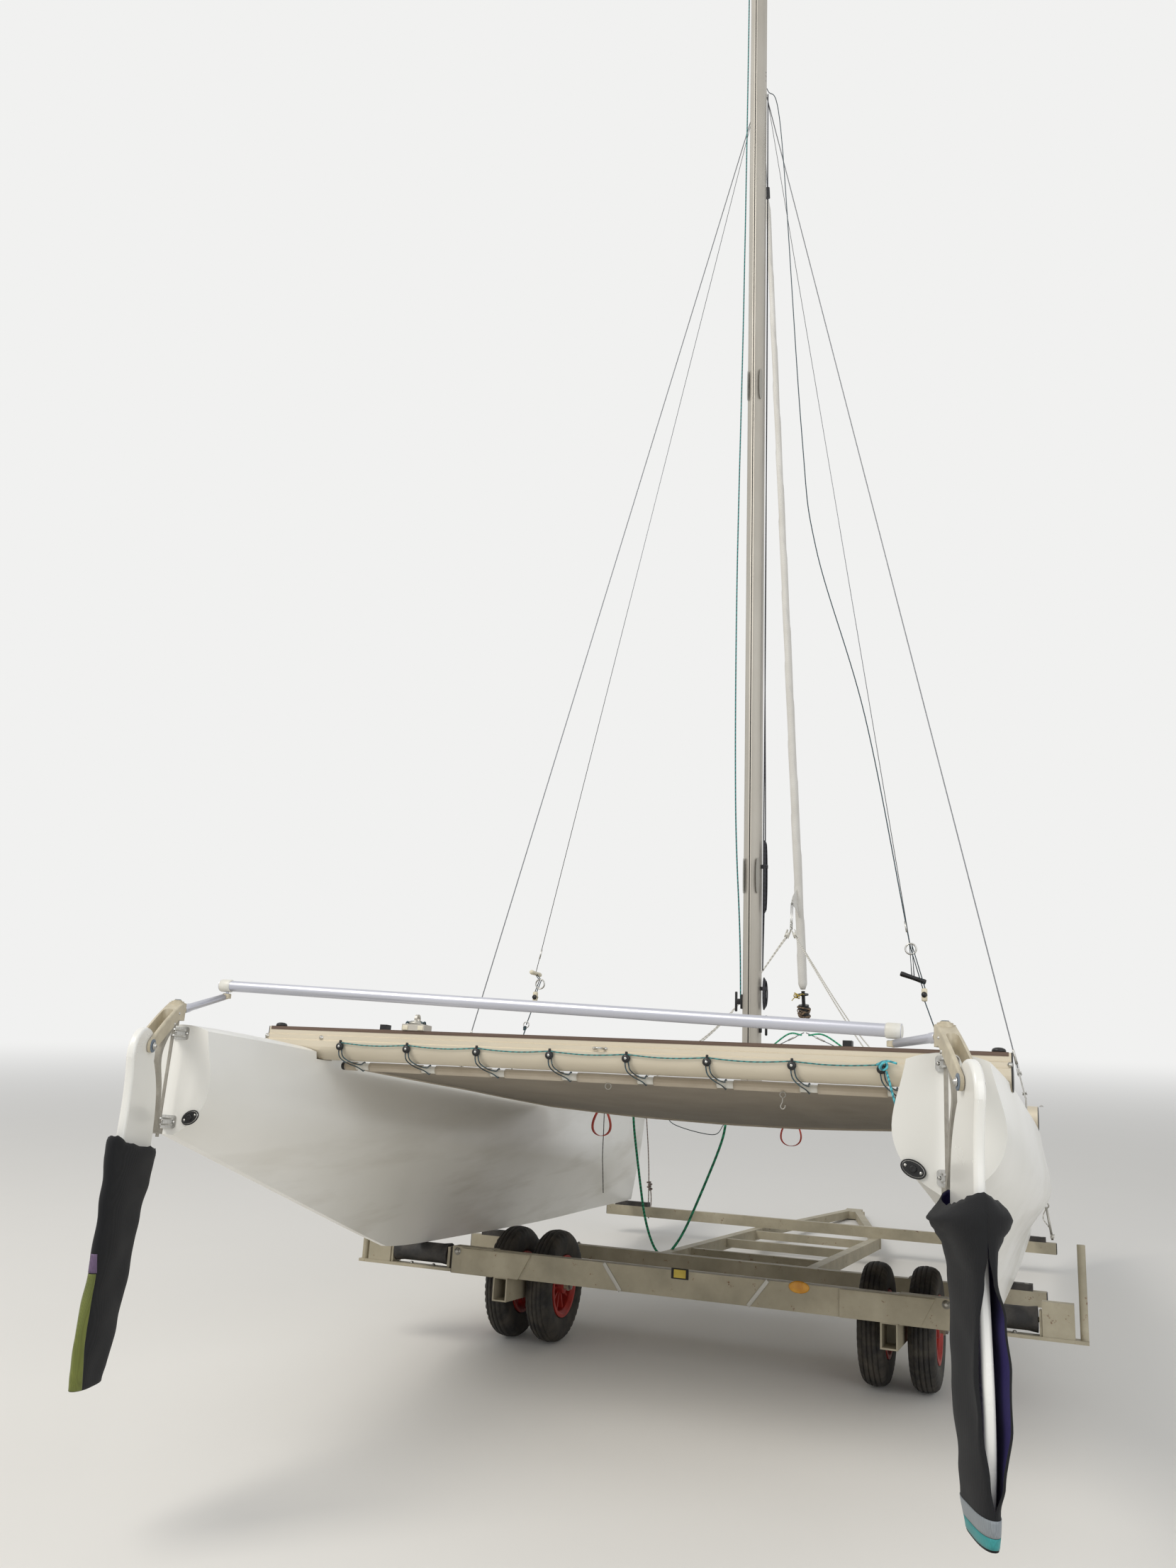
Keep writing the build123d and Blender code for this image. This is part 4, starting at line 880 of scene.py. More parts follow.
class CATAMARAN_OT_jib(bpy.types.Operator):
    """Rolled jib with the spiral of its edge"""

    bl_idname = "catamaran.jib"
    bl_label = "Jib"

    def execute(self, context):
        sizes = context.scene.catamaran_jib
        foot, head = stay_at(0.979), stay_at(0.122)
        place = upright(foot, head - foot)
        length = (head - foot).length
        rows, sides = 300, 26
        bm = bmesh.new()
        rings = []
        for i in range(rows + 1):
            t = i / rows
            radius = 0.0225 - 0.0105 * t
            ring = []
            for k in range(sides):
                a = 2 * math.pi * k / sides
                turn = (a / (2 * math.pi) + sizes.turns * t + 0.06 * math.sin(9 * t)) % 1.0
                r = radius - sizes.ridge * 0.6 + sizes.ridge * turn
                r += 0.0012 * noise.noise(Vector((2.2 * math.cos(a), 2.2 * math.sin(a), 14 * t)))
                r *= 0.55 + 0.45 * smoothstep(0, 0.006, t) * smoothstep(1.0, 0.985, t)
                ring.append(bm.verts.new(place @ Vector((r * math.cos(a), r * math.sin(a), t * length))))
            rings.append(ring)
        for low, high in zip(rings, rings[1:]):
            for k in range(sides):
                j = (k + 1) % sides
                bm.faces.new((low[k], low[j], high[j], high[k]))
        bm.faces.new(rings[0][::-1])
        bm.faces.new(rings[-1])
        roll = put(from_bmesh("jib_roll_cloth", bm), "sail_cloth", ROOT)
        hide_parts("jib_roll")

        return {"FINISHED"}


class CatamaranTyres(bpy.types.PropertyGroup):
    """Treaded tyres."""

    lugs: IntProperty(name="Lugs", description="Shoulder blocks round each tyre", default=44)
    groove: FloatProperty(name="Groove depth", description="Depth of the tread grooves", default=0.005,
                          unit="LENGTH")


# Half profile of a tyre: radius and distance from its middle, metres
TYRE_COLUMNS = ("radius", "offset", "lug")
TYRE_HALF = (
    (0.1020, 0.0300, 0), (0.1110, 0.0364, 0), (0.1160, 0.0400, 0), (0.1240, 0.0408, 0), (0.1300, 0.0424, 0),
    (0.1480, 0.0438, 0), (0.1620, 0.0436, 0), (0.1700, 0.0425, 0.4), (0.1800, 0.0388, 1), (0.1862, 0.0330, 1),
    (0.1895, 0.0270, 1), (0.1902, 0.0262, 0), (0.1870, 0.0250, 2), (0.1870, 0.0222, 2), (0.1918, 0.0210, 0),
    (0.1935, 0.0110, 0), (0.1930, 0.0100, 0), (0.1890, 0.0088, 2), (0.1890, 0.0062, 2), (0.1942, 0.0050, 0),
    (0.1948, 0.0, 0),
)


class CATAMARAN_OT_tyres(bpy.types.Operator):
    """Four pneumatic tyres with ribs, grooves and shoulder blocks"""

    bl_idname = "catamaran.tyres"
    bl_label = "Tyres"

    def execute(self, context):
        sizes = context.scene.catamaran_tyres
        sides = sizes.lugs * 3
        half = [dict(zip(TYRE_COLUMNS, row)) for row in TYRE_HALF]
        outline = [(p["radius"], p["offset"], p["lug"]) for p in half]
        outline += [(p["radius"], -p["offset"], p["lug"]) for p in reversed(half[:-1])]
        for side, word in ((1, "port"), (-1, "starboard")):
            for place, offset in (("outer", WHEEL_OFFSET), ("inner", -WHEEL_OFFSET)):
                centre = Vector((WHEEL_X - FRAME_SHIFT, side * (0.673 + offset), WHEEL_R))
                bm = bmesh.new()
                rings = []
                for k in range(sides):
                    a = 2 * math.pi * k / sides
                    ring = []
                    for r, y, lug in outline:
                        if 0 < lug <= 1 and k % 3 == 0:
                            r -= sizes.groove * lug * 0.8
                            y *= 1 - 0.03 * lug
                        if abs(y) > 0.028 and r > 0.182:
                            r -= 0.0006
                        ring.append(bm.verts.new(centre + Vector((r * math.sin(a), y, r * math.cos(a)))))
                    rings.append(ring)
                for low, high in zip(rings, rings[1:] + rings[:1]):
                    for j in range(len(outline) - 1):
                        bm.faces.new((low[j], low[j + 1], high[j + 1], high[j]))
                    bm.faces.new((low[-1], low[0], high[0], high[-1]))
                tyre = from_bmesh("tyre_tread_%s_%s" % (word, place), bm)
                put(tyre, "tyre", "wheels_" + word)
                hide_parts("tyre_%s_%s" % (word, place))
        return {"FINISHED"}


class CatamaranRig(bpy.types.PropertyGroup):
    """Lines and fittings on the mast and the stays."""

    halyard_radius: FloatProperty(name="Halyard radius", description="Halyard on the mast", default=0.0032,
                                  unit="LENGTH")
    trapeze_radius: FloatProperty(name="Trapeze wire radius", description="Wire to each trapeze ring",
                                  default=0.0014, unit="LENGTH")


class CATAMARAN_OT_mast(bpy.types.Operator):
    """Halyard, hanks, cleats, the luff slot as a strip of painted shade, and rivets on the turning mast"""

    bl_idname = "catamaran.mast"
    bl_label = "Mast lines"

    def execute(self, context):
        sizes = context.scene.catamaran_rig
        side, aft = 0.037, -0.056
        bm = bmesh.new()
        path = [MAST @ Vector(p) for p in (
            (-0.030, 0.010, 6.38), (-0.020, side + 0.006, 6.30), (-0.004, side + 0.012, 5.2),
            (-0.002, 0.062, 3.6),
            (0.002, 0.082, 2.2), (0.000, 0.078, 1.2), (-0.006, 0.052, 0.62), (-0.008, side + 0.008, 0.33))]
        tube(bm, eased(path, 14), sizes.halyard_radius, 8)
        put(from_bmesh("halyard", bm), "teal_line", "mast")

        bm = bmesh.new()
        for shift in (0.0, 0.006):
            path = [MAST @ Vector(p) for p in (
                (0.020, -side - 0.006, 4.70), (0.010 + shift, -side - 0.010, 3.2),
                (0.004 - shift, -side - 0.012, 1.9),
                (0.000 + shift, -side - 0.010 - shift, 1.02), (0.004, -side - 0.008, 0.46))]
            tube(bm, eased(path, 14), 0.0026, 8)
        for low, high, loops, wide in ((0.700, 1.010, 5, 0.012), (0.300, 0.430, 6, 0.020)):
            for k in range(loops):
                spin = 0.5 * math.sin(2.3 * k)
                middle = Vector((0.006 + 0.004 * math.sin(1.7 * k), -side - 0.010 - 0.003 * (k % 3),
                                 (low + high) / 2))
                half = (high - low) / 2 - 0.006 * (k % 3)
                turns = [2 * math.pi * j / 22 for j in range(22)]
                tube(bm, [MAST @ (middle + Vector((wide * math.cos(a) * math.cos(spin),
                                                   -0.004 + wide * 0.35 * math.cos(a) * math.sin(spin),
                                                   half * math.sin(a)))) for a in turns], 0.0027, 7, True)
            for k in range(3):
                hoop(bm,
                     MAST @ Matrix.Translation((0.006, -side - 0.013, low + 0.62 * (high - low) + 0.005 * k)),
                     0.013, 0.0026, 18)
        put(from_bmesh("halyard_hanks", bm), "black_line", "mast")

        bm = bmesh.new()
        for y_side, z in ((1, 0.33), (-1, 0.235)):
            place = upright(MAST @ Vector((-0.008, y_side * (side - 0.001), z)),
                            MAST.to_3x3() @ Vector((0, y_side, 0)),
                            MAST.to_3x3() @ Vector((0, 0, 1)))
            slab(bm, place @ Matrix.Translation((0, 0, 0.004)), (0.018, 0.060, 0.010), 0.003)
            slab(bm, place @ Matrix.Translation((0, 0, 0.016)), (0.011, 0.024, 0.020), 0.003)
            slab(bm, place @ Matrix.Translation((0, 0, 0.028)), (0.012, 0.082, 0.010), 0.004)
        put(from_bmesh("mast_cleats", bm), "black_plastic", "mast")

        # The luff groove is a flat near-black strip on the mast's aft face: painted shade standing in for the shadow
        # in the slot.
        bm = bmesh.new()
        rows = [[bm.verts.new(MAST @ Vector((aft - 0.0006, w, z))) for w in (-0.0021, 0.0021)]
                for z in (0.10, 6.30)]
        bm.faces.new((rows[0][0], rows[1][0], rows[1][1], rows[0][1]))
        put(from_bmesh("luff_groove_painted_shade", bm, False), "painted_shade_slot", "mast")
        bm = bmesh.new()
        for z0, z1 in ((0.78, 0.93), (3.05, 3.20)):
            for y_side in (1, -1):
                outline = []
                for k in range(28):
                    a = 2 * math.pi * k / 28
                    outline.append(bm.verts.new(MAST @ Vector((
                        -0.036 + 0.011 * math.copysign(abs(math.cos(a)) ** 0.5, math.cos(a)),
                        y_side * (0.0312 + 0.0004 * math.cos(a) + 0.0050 * math.copysign(abs(math.cos(a)) ** 0.5,
                                                                                           math.cos(a))),
                        (z0 + z1) / 2 + (z1 - z0) / 2 * math.sin(a)))))
                bm.faces.new(outline)
        put(from_bmesh("sail_entry_plates", bm, False), "galvanised", "mast")

        bm = bmesh.new()
        for z in (0.012, 0.028, 4.765, 4.79, 4.81, 6.387):
            for y_side in (1, -1):
                wide = 0.0415 if z < 0.1 else 0.0375
                bolt_head(bm, upright(MAST @ Vector((0.004, y_side * (wide if z < 6 else 0.0400), z)),
                                      MAST.to_3x3() @ Vector((0, y_side, 0))), 0.0028)
        hoop(bm, upright(MAST @ Vector((0.060, 0, 4.80)), MAST.to_3x3() @ Vector((0, 1, 0))), 0.012, 0.003)
        lathe(bm, upright(MAST @ Vector((-0.070, -0.0095, 6.398)), MAST.to_3x3() @ Vector((0, 1, 0))),
              [(0, 0), (0.015, 0), (0.015, 0.003), (0.0125, 0.006), (0.0125, 0.013), (0.015, 0.016),
               (0.015, 0.019), (0, 0.019)])
        put(from_bmesh("mast_rivets_and_sheave", bm), "stainless", "mast")
        return {"FINISHED"}


# Trapeze gear in the boat's frame: hounds, ring, handle, lower block and the foot by the hull
TRAPEZE_COLUMNS = ("side", "ring", "handle", "block", "foot")
TRAPEZE = (
    (1, (1.899, 0.797, 0.372), (1.893, 0.818, 0.414), (1.906, 0.818, 0.318), (1.893, 0.893, 0.020)),
    (-1, (1.741, -0.715, 0.503), (1.744, -0.722, 0.400), (1.741, -0.761, 0.340), (1.728, -0.872, -0.030)),
)


class CATAMARAN_OT_trapezes(bpy.types.Operator):
    """Trapeze wires with their handles, rings, blocks and the shock cords to the hulls"""

    bl_idname = "catamaran.trapezes"
    bl_label = "Trapezes"

    def execute(self, context):
        sizes = context.scene.catamaran_rig
        wires, metal, light, dark, cords = (bmesh.new() for _ in range(5))
        hounds = BOAT.inverted() @ (MAST @ Vector((0.084, 0, 4.79)))
        for row in TRAPEZE:
            gear = dict(zip(TRAPEZE_COLUMNS, row))
            side = gear["side"]
            ring, handle = Vector(gear["ring"]), Vector(gear["handle"])
            block, foot = Vector(gear["block"]), Vector(gear["foot"])
            top = hounds + Vector((0, side * 0.016, 0))
            upper = handle if side > 0 else ring
            tube(wires, [boat(*top), boat(*upper)], sizes.trapeze_radius, 6)
            if side < 0:
                slack = [top + Vector((0, -0.006, 0)), top + Vector((-0.02, -0.085, -0.28)),
                         (1.656, -0.30, 2.66), (1.703, -0.359, 2.12), (1.741, -0.55, 1.40), ring]
                tube(cords, eased([boat(*p) for p in slack], 14), 0.0021, 6)
            lathe(metal, upright(boat(*(upper + Vector((0, -0.02 * side, 0.10)))),
                                 BOAT.to_3x3() @ (upper - top)),
                  [(0, 0), (0.003, 0), (0.003, 0.04), (0, 0.04)], 10)
            level = BOAT.to_3x3() @ Vector((1, 0, 0)) if side > 0 else BOAT.to_3x3() @ Vector((0.1, -0.9, -0.3))
            grip = upright(boat(*handle), level)
            shape = [(0, -0.047), (0.008, -0.046), (0.0095, -0.040), (0.0085, -0.020), (0.0080, 0),
                     (0.0085, 0.020),
                     (0.0095, 0.040), (0.008, 0.046), (0, 0.047)]
            lathe(light if side > 0 else dark, grip, shape, 18)
            hoop(metal, upright(boat(*ring), BOAT.to_3x3() @ Vector((1, 0, 0.1))), 0.019, 0.0032, 26)
            slab(light, upright(boat(*block), BOAT.to_3x3() @ Vector((1, 0, 0))),
                 (0.020, 0.046, 0.013), 0.005)
            lathe(dark, upright(boat(*(block - Vector((0.0085, 0, 0)))), BOAT.to_3x3() @ Vector((1, 0, 0))),
                  [(0, 0), (0.010, 0), (0.010, 0.002), (0.007, 0.004), (0.007, 0.013), (0.010, 0.015),
                   (0.010, 0.017), (0, 0.017)], 18)
            for shift in (0.004, -0.004):
                tube(cords, [boat(*(handle + Vector((0, shift, 0)))),
                             boat(*(ring + Vector((0, shift, 0.015)))),
                             boat(*(block + Vector((0, shift, 0.018))))], 0.0019, 6)
            low = block.lerp(foot, 0.38)
            tube(cords, [boat(*(block - Vector((0, 0, 0.02)))), boat(*low)], 0.0021, 6)
            hoop(metal, upright(boat(*low), BOAT.to_3x3() @ Vector((1, 0, 0))), 0.012, 0.002, 20)
            tube(cords, [boat(*(low - Vector((0, 0, 0.010)))), boat(*foot)], 0.0026, 8)
            for k in range(3):
                knot = low.lerp(foot, 0.10) + Vector((0, 0, 0.004 * k))
                hoop(cords, upright(boat(*knot), (0.3 * k, 0.5, 1.0)), 0.0052, 0.0028, 12)
        put(from_bmesh("trapeze_wires", wires), "wire", ROOT)
        put(from_bmesh("trapeze_rings", metal), "stainless", ROOT)
        put(from_bmesh("trapeze_handle_and_blocks", light), "cream_plastic", ROOT)
        put(from_bmesh("trapeze_handle_black", dark), "black_plastic", ROOT)
        put(from_bmesh("trapeze_cords", cords), "dark_teal_line", ROOT)
        return {"FINISHED"}


class CATAMARAN_OT_stay_fittings(bpy.types.Operator):
    """Adjuster pins, swaged terminals, shackles and the lashings under the furling drum"""

    bl_idname = "catamaran.stay_fittings"
    bl_label = "Stay fittings"

    def execute(self, context):
        metal, tails = bmesh.new(), bmesh.new()
        for side in (1, -1):
            lean = math.radians(SHROUD_LEAN)
            place = BOAT @ Matrix.Translation((CHAINPLATE_X, side * CHAINPLATE_Y, 0)) \
                @ Matrix.Rotation(side * lean, 4, "X")
            for z in (CHAINPLATE_FOOT_Z + 0.014, CHAINPLATE_FOOT_Z + 0.082):
                lathe(metal,
                      place @ Matrix.Translation((0, 0.0065, z)) @ Matrix.Rotation(math.pi / 2, 4, "X"),
                      [(0, -0.0005), (0.0062, 0), (0.0062, 0.0015), (0.0036, 0.0018), (0.0036, 0.0130),
                       (0.0062, 0.0133), (0.0062, 0.0148), (0, 0.0152)], 16)
            for y in (-0.0048, 0.0048):
                slab(metal, place @ Matrix.Translation((0, y, CHAINPLATE_FOOT_Z + 0.098)),
                     (0.015, 0.0018, 0.050), 0.0006)
            top = STAY_TOP.copy()
            top.y = side * 0.009
            foot = place @ Vector((0, 0, CHAINPLATE_FOOT_Z + 0.104))
            up = (top - foot).normalized()
            lathe(metal, upright(foot + up * 0.010, up),
                  [(0, 0), (0.0045, 0), (0.0045, 0.045), (0.0028, 0.052), (0, 0.052)], 14)
            lathe(metal, upright(top - up * 0.07, up),
                  [(0, 0), (0.0028, 0.001), (0.0045, 0.006), (0.0045, 0.06), (0, 0.062)], 14)
            bow = boat(3.800, side * (HULL_Y - 0.008), -0.084)
            join = STAY_TOP.lerp(DRUM, 1.026)
            join.y = side * 0.005
            along = (join - bow).normalized()
            lathe(metal, upright(bow + along * 0.05, along),
                  [(0, 0), (0.0045, 0), (0.0045, 0.05), (0, 0.052)], 14)
            hoop(metal, upright(bow + along * 0.035, along.cross(Vector((0, 0, 1)))), 0.0095, 0.0024, 18)
            lathe(metal, upright(join - along * 0.10, along),
                  [(0, 0), (0.0045, 0), (0.0045, 0.05), (0, 0.052)], 14)
            path = [join + Vector((0, 0.012 * side, -0.012)), join - along * 0.10 + Vector((0, 0, 0.030)),
                    join - along * 0.24 + Vector((0, 0, 0.006)), join - along * 0.42 + Vector((0, 0, -0.005))]
            tube(tails, eased(path, 8), 0.0042, 8)
        hoop(metal, upright(STAY_TOP.lerp(DRUM, 1.0205), (0, 1, 0)), 0.014, 0.0032, 22)
        hoop(metal, upright(STAY_TOP.lerp(DRUM, 0.004), (0, 1, 0)), 0.016, 0.0032, 22)
        put(from_bmesh("stay_terminals", metal), "stainless", ROOT)
        put(from_bmesh("bridle_lashings", tails), "green_line", ROOT)

        bm = bmesh.new()
        centre = STAY_TOP.lerp(DRUM, 1.004)
        axis = (DRUM - STAY_TOP).normalized()
        place = upright(centre, axis)
        shaker = random.Random(5)
        for k in range(9):
            tilt = Matrix.Rotation(shaker.uniform(-0.35, 0.35), 4, "X")
            tilt = tilt @ Matrix.Rotation(shaker.uniform(-0.35, 0.35), 4, "Y")
            hoop(bm, place @ Matrix.Translation((0, 0, -0.024 + 0.006 * k)) @ tilt,
                 0.0285 + shaker.uniform(-0.001, 0.004), 0.0026, 24)
        put(from_bmesh("furling_line_turns", bm), "brown_line", ROOT)
        bm = bmesh.new()
        knot = STAY_TOP.lerp(DRUM, 0.988) + BOAT.to_3x3() @ Vector((-0.028, 0.020, 0.0))
        for k in range(4):
            hoop(bm, upright(knot + Vector((0, 0.004 * k, 0.002 * k)), (k - 1.5, 1, 0.6 * k - 1)),
                 0.010, 0.0022, 14)
        for way in ((-0.01, 0.03, -0.02), (0.01, 0.022, 0.018), (0.0, -0.03, 0.012)):
            tube(bm, eased([knot, knot + Vector(way) * 0.6 + Vector((0, 0, 0.006)), knot + Vector(way)], 6),
                 0.0022, 6)
        put(from_bmesh("yellow_knot", bm), "yellow_line", ROOT)
        return {"FINISHED"}


class CATAMARAN_OT_jib_clew(bpy.types.Operator):
    """Corner of the jib drawn out of its roll, with two blocks and the sheets"""

    bl_idname = "catamaran.jib_clew"
    bl_label = "Jib clew"

    def execute(self, context):
        roll_high, roll_low = (BOAT.inverted() @ stay_at(f) for f in (0.868, 0.905))
        clew = Vector((3.045, 0.006, 0.935))
        bm = bmesh.new()
        rows = []
        for i in range(13):
            t = i / 12
            top = roll_high.lerp(clew + Vector((0, 0, 0.011)), t)
            low = roll_low.lerp(clew - Vector((0, 0, 0.013)), t)
            dip = 0.012 * math.sin(math.pi * t)
            row = []
            for k in range(7):
                s = k / 6
                point = top.lerp(low, s) + Vector((0, 0.010 * math.sin(math.pi * t) * math.sin(3 * s + 1), 0))
                point.z += dip * (s - 0.5) * 1.2
                row.append(bm.verts.new(boat(*point)))
            rows.append(row)
        for a, b in zip(rows, rows[1:]):
            for k in range(6):
                bm.faces.new((a[k], b[k], b[k + 1], a[k + 1]))
        corner = from_bmesh("jib_clew_cloth", bm)
        thick = corner.modifiers.new("thickness", "SOLIDIFY")
        thick.thickness = 0.0014
        put(corner, "sail_cloth", ROOT)

        metal, blocks, lines = bmesh.new(), bmesh.new(), bmesh.new()
        hoop(metal, upright(boat(*clew), BOAT.to_3x3() @ Vector((0, 1, 0))), 0.010, 0.0022)
        foot = Vector((3.010, 0.0, 0.775))
        for y in (0.004, -0.004):
            tube(metal, [boat(*(clew + Vector((0, y, -0.006)))), boat(*(foot + Vector((0, y, 0.020))))],
                 0.0024, 6)
        for k in range(4):
            hoop(metal, upright(boat(*(foot + Vector((0.001 * k, 0, 0.022 + 0.012 * k)))),
                                BOAT.to_3x3() @ Vector((0.2, (-1) ** k, 0.2))), 0.0075, 0.0024, 14)
        for y in (0.017, -0.017):
            turn = Matrix.Rotation(0.35 * (1 if y > 0 else -1), 4, "X")
            place = BOAT @ Matrix.Translation(foot + Vector((0, y, -0.002))) @ turn
            for gap in (-0.0075, 0.0075):
                slab(blocks, place @ Matrix.Translation((0, gap, 0)), (0.026, 0.003, 0.040), 0.0014)
            lathe(blocks,
                  place @ Matrix.Translation((0, -0.006, -0.004)) @ Matrix.Rotation(-math.pi / 2, 4, "X"),
                  [(0, 0), (0.013, 0), (0.0105, 0.006), (0.013, 0.012), (0, 0.012)], 18)
        for side, ends in ((1, ((2.52, 0.46, -0.052), (2.49, 0.50, -0.055))), (-1, ((2.56, -0.60, -0.052),
                                                                                (2.50, -0.66, -0.055)))):
            for k, end in enumerate(ends):
                begin = foot + Vector((-0.012 + 0.024 * k, side * 0.019, -0.012))
                middle = begin.lerp(Vector(end), 0.5) + Vector((0, 0, -0.02 - 0.015 * k))
                stop = Vector(end)
                stop.z = MAIN_BEAM_Z + 0.051
                stop.x = MAIN_BEAM_X + 0.010 - 0.02 * k
                tube(lines, eased([boat(*begin), boat(*middle), boat(*stop)], 12), 0.0029, 8)
        put(from_bmesh("jib_clew_ring_and_shackles", metal), "stainless", ROOT)
        put(from_bmesh("jib_sheet_blocks", blocks), "white_plastic", ROOT)
        put(from_bmesh("jib_sheets", lines), "white_line", ROOT)

        bm = bmesh.new()
        for side, y in ((1, 0.48), (-1, -0.63)):
            place = BOAT @ Matrix.Translation((MAIN_BEAM_X + 0.004, y,
                                               MAIN_BEAM_Z + MAIN_BEAM_RADIUS + 0.004))
            slab(bm, place, (0.040, 0.070, 0.009), 0.003)
            lathe(bm, place @ Matrix.Translation((0.002, 0, 0.003)),
                  [(0, 0), (0.015, 0), (0.014, 0.010), (0.010, 0.014), (0, 0.015)], 18)
        put(from_bmesh("jib_sheet_cleats", bm), "black_plastic", ROOT)
        return {"FINISHED"}


class CatamaranCords(bpy.types.PropertyGroup):
    """Loose lines that hang from the boat."""

    rope_diameter: FloatProperty(name="Green rope", description="Diameter of the green rope", default=0.010,
                                 unit="LENGTH")
    painter_diameter: FloatProperty(name="Painter", description="Diameter of the line at the port bow",
                                    default=0.006, unit="LENGTH")
    tail_diameter: FloatProperty(name="Thin tail", description="Diameter of the thin tail", default=0.004,
                                 unit="LENGTH")
    lacing_tail_diameter: FloatProperty(name="Lacing tail", description="Diameter of the lacing's free end",
                                        default=0.006, unit="LENGTH")


# Loose lines in the boat's frame, metres
GREEN_ROPE = ((2.276, 0.494, -0.087), (2.279, 0.493, -0.125), (2.283, 0.488, -0.180), (2.286, 0.462, -0.330),
              (2.292, 0.420, -0.560), (2.296, 0.352, -0.685), (2.294, 0.270, -0.600), (2.290, 0.185, -0.400),
              (2.284, 0.110, -0.215), (2.279, 0.092, -0.135), (2.276, 0.090, -0.088))
PAINTER = ((3.862, 0.972, -0.105), (3.874, 0.964, -0.200), (3.894, 0.957, -0.340), (3.905, 0.954, -0.455),
           (3.918, 0.956, -0.545), (3.940, 0.962, -0.640), (3.968, 0.960, -0.600), (3.950, 0.950, -0.520),
           (3.916, 0.948, -0.470))
PORT_TAIL = ((2.300, 0.633, -0.094), (2.303, 0.633, -0.150), (2.308, 0.633, -0.200), (2.318, 0.637, -0.290),
             (2.326, 0.632, -0.370), (2.332, 0.628, -0.443))
LACING_TAIL = ((0.499, -0.806, -0.008), (0.492, -0.812, -0.022), (0.486, -0.822, -0.060),
               (0.489, -0.835, -0.105), (0.495, -0.832, -0.150))
WEBBING_EDGES, WEBBING_TOP = (-0.0125, 0.0125), -0.093


class CATAMARAN_OT_cords(bpy.types.Operator):
    """Green rope under the main beam, the painter, the thin tails, webbing loops and small cords"""

    bl_idname = "catamaran.cords"
    bl_label = "Loose lines"

    def execute(self, context):
        sizes = context.scene.catamaran_cords
        for name, route, diameter, finish, slot, end in (
                ("green_rope", GREEN_ROPE, sizes.rope_diameter, "green_line", "sail_cloth", "object"),
                ("painter", PAINTER, sizes.painter_diameter, "painter_line", "sail_cloth", "knot"),
                ("port_tail", PORT_TAIL, sizes.tail_diameter, "grey_line", "sail_cloth", "bare"),
                ("lacing_tail", LACING_TAIL, sizes.lacing_tail_diameter, "light_teal_line", "net_cloth",
                 "bare")):
            free_cord(name, [boat(*p) for p in route], diameter, finish)

        straps, buckles, wraps, knots = (bmesh.new() for _ in range(4))
        for y, low in ((0.643, -0.212), (-0.171, -0.202)):
            round_beam, hanging = [], []
            middle, half = (WEBBING_TOP + low) / 2, (WEBBING_TOP - low) / 2
            for k in range(41):
                a = 2 * math.pi * k / 40
                x, z = MAIN_BEAM_X + 0.0475 * math.cos(a), MAIN_BEAM_Z + 0.0475 * math.sin(a)
                round_beam.append([straps.verts.new(boat(x, y + w, z)) for w in WEBBING_EDGES])
                out = y + 0.037 * math.cos(a) * (1 - 0.12 * math.sin(a)) - 0.006 * math.sin(2 * a)
                hanging.append([straps.verts.new(boat(MAIN_BEAM_X - 0.006 + w, out,
                                                      middle + half * math.sin(a)))
                                for w in WEBBING_EDGES])
            for rows in (round_beam, hanging):
                for a, b in zip(rows, rows[1:]):
                    straps.faces.new((a[0], a[1], b[1], b[0]))
            place = BOAT @ Matrix.Translation((MAIN_BEAM_X - 0.049, y, MAIN_BEAM_Z - 0.052))
            slab(buckles, place, (0.006, 0.034, 0.022), 0.002)
        loops = from_bmesh("webbing_loops", straps)
        thick = loops.modifiers.new("thickness", "SOLIDIFY")
        thick.thickness = 0.0018
        put(loops, "orange_webbing", ROOT)
        put(from_bmesh("webbing_buckles", buckles), "black_plastic", ROOT)

        for y in (0.494, 0.090):
            turns = [2 * math.pi * k / 30 for k in range(30)]
            for shift in (-0.004, 0.004):
                tube(wraps, [boat(MAIN_BEAM_X + 0.0485 * math.cos(a), y + shift,
                                  MAIN_BEAM_Z + 0.0485 * math.sin(a))
                             for a in turns], 0.0035, 8, True)
            hoop(wraps, upright(boat(MAIN_BEAM_X - 0.036, y, MAIN_BEAM_Z - 0.044), (1, 0.4, 0.2)),
                 0.0075, 0.0035, 16)
        for k in range(4):
            z = -0.440 - 0.012 * k
            hoop(knots, upright(boat(3.906 + 0.004 * k, 0.952 + 0.003 * (-1) ** k, z),
                                (0.3 * (-1) ** k, 0.2, 1)),
                 0.0095, 0.0038, 18)
        for k in range(2):
            hoop(knots, upright(boat(3.859, 0.974, -0.096 - 0.006 * k), (0.2, 0.3 * k, 1)),
                 0.0065, 0.0032, 14)
        put(from_bmesh("rope_hitches", wraps), "green_line", ROOT)
        put(from_bmesh("painter_knots", knots), "painter_line", ROOT)

        thin = bmesh.new()
        path = [boat(2.291, 0.36, -0.098), boat(2.296, 0.315, -0.149), boat(2.299, 0.153, -0.179),
                boat(2.294, 0.106, -0.137), boat(2.291, 0.07, -0.096)]
        tube(thin, eased(path, 10), 0.0017, 6)
        for y in (0.36, 0.07, 0.633):
            turns = [2 * math.pi * k / 26 for k in range(26)]
            tube(thin, [boat(MAIN_BEAM_X + 0.0472 * math.cos(a), y, MAIN_BEAM_Z + 0.0472 * math.sin(a))
                        for a in turns], 0.0019, 6, True)
        put(from_bmesh("beam_cords", thin), "dark_teal_line", ROOT)
        return {"FINISHED"}


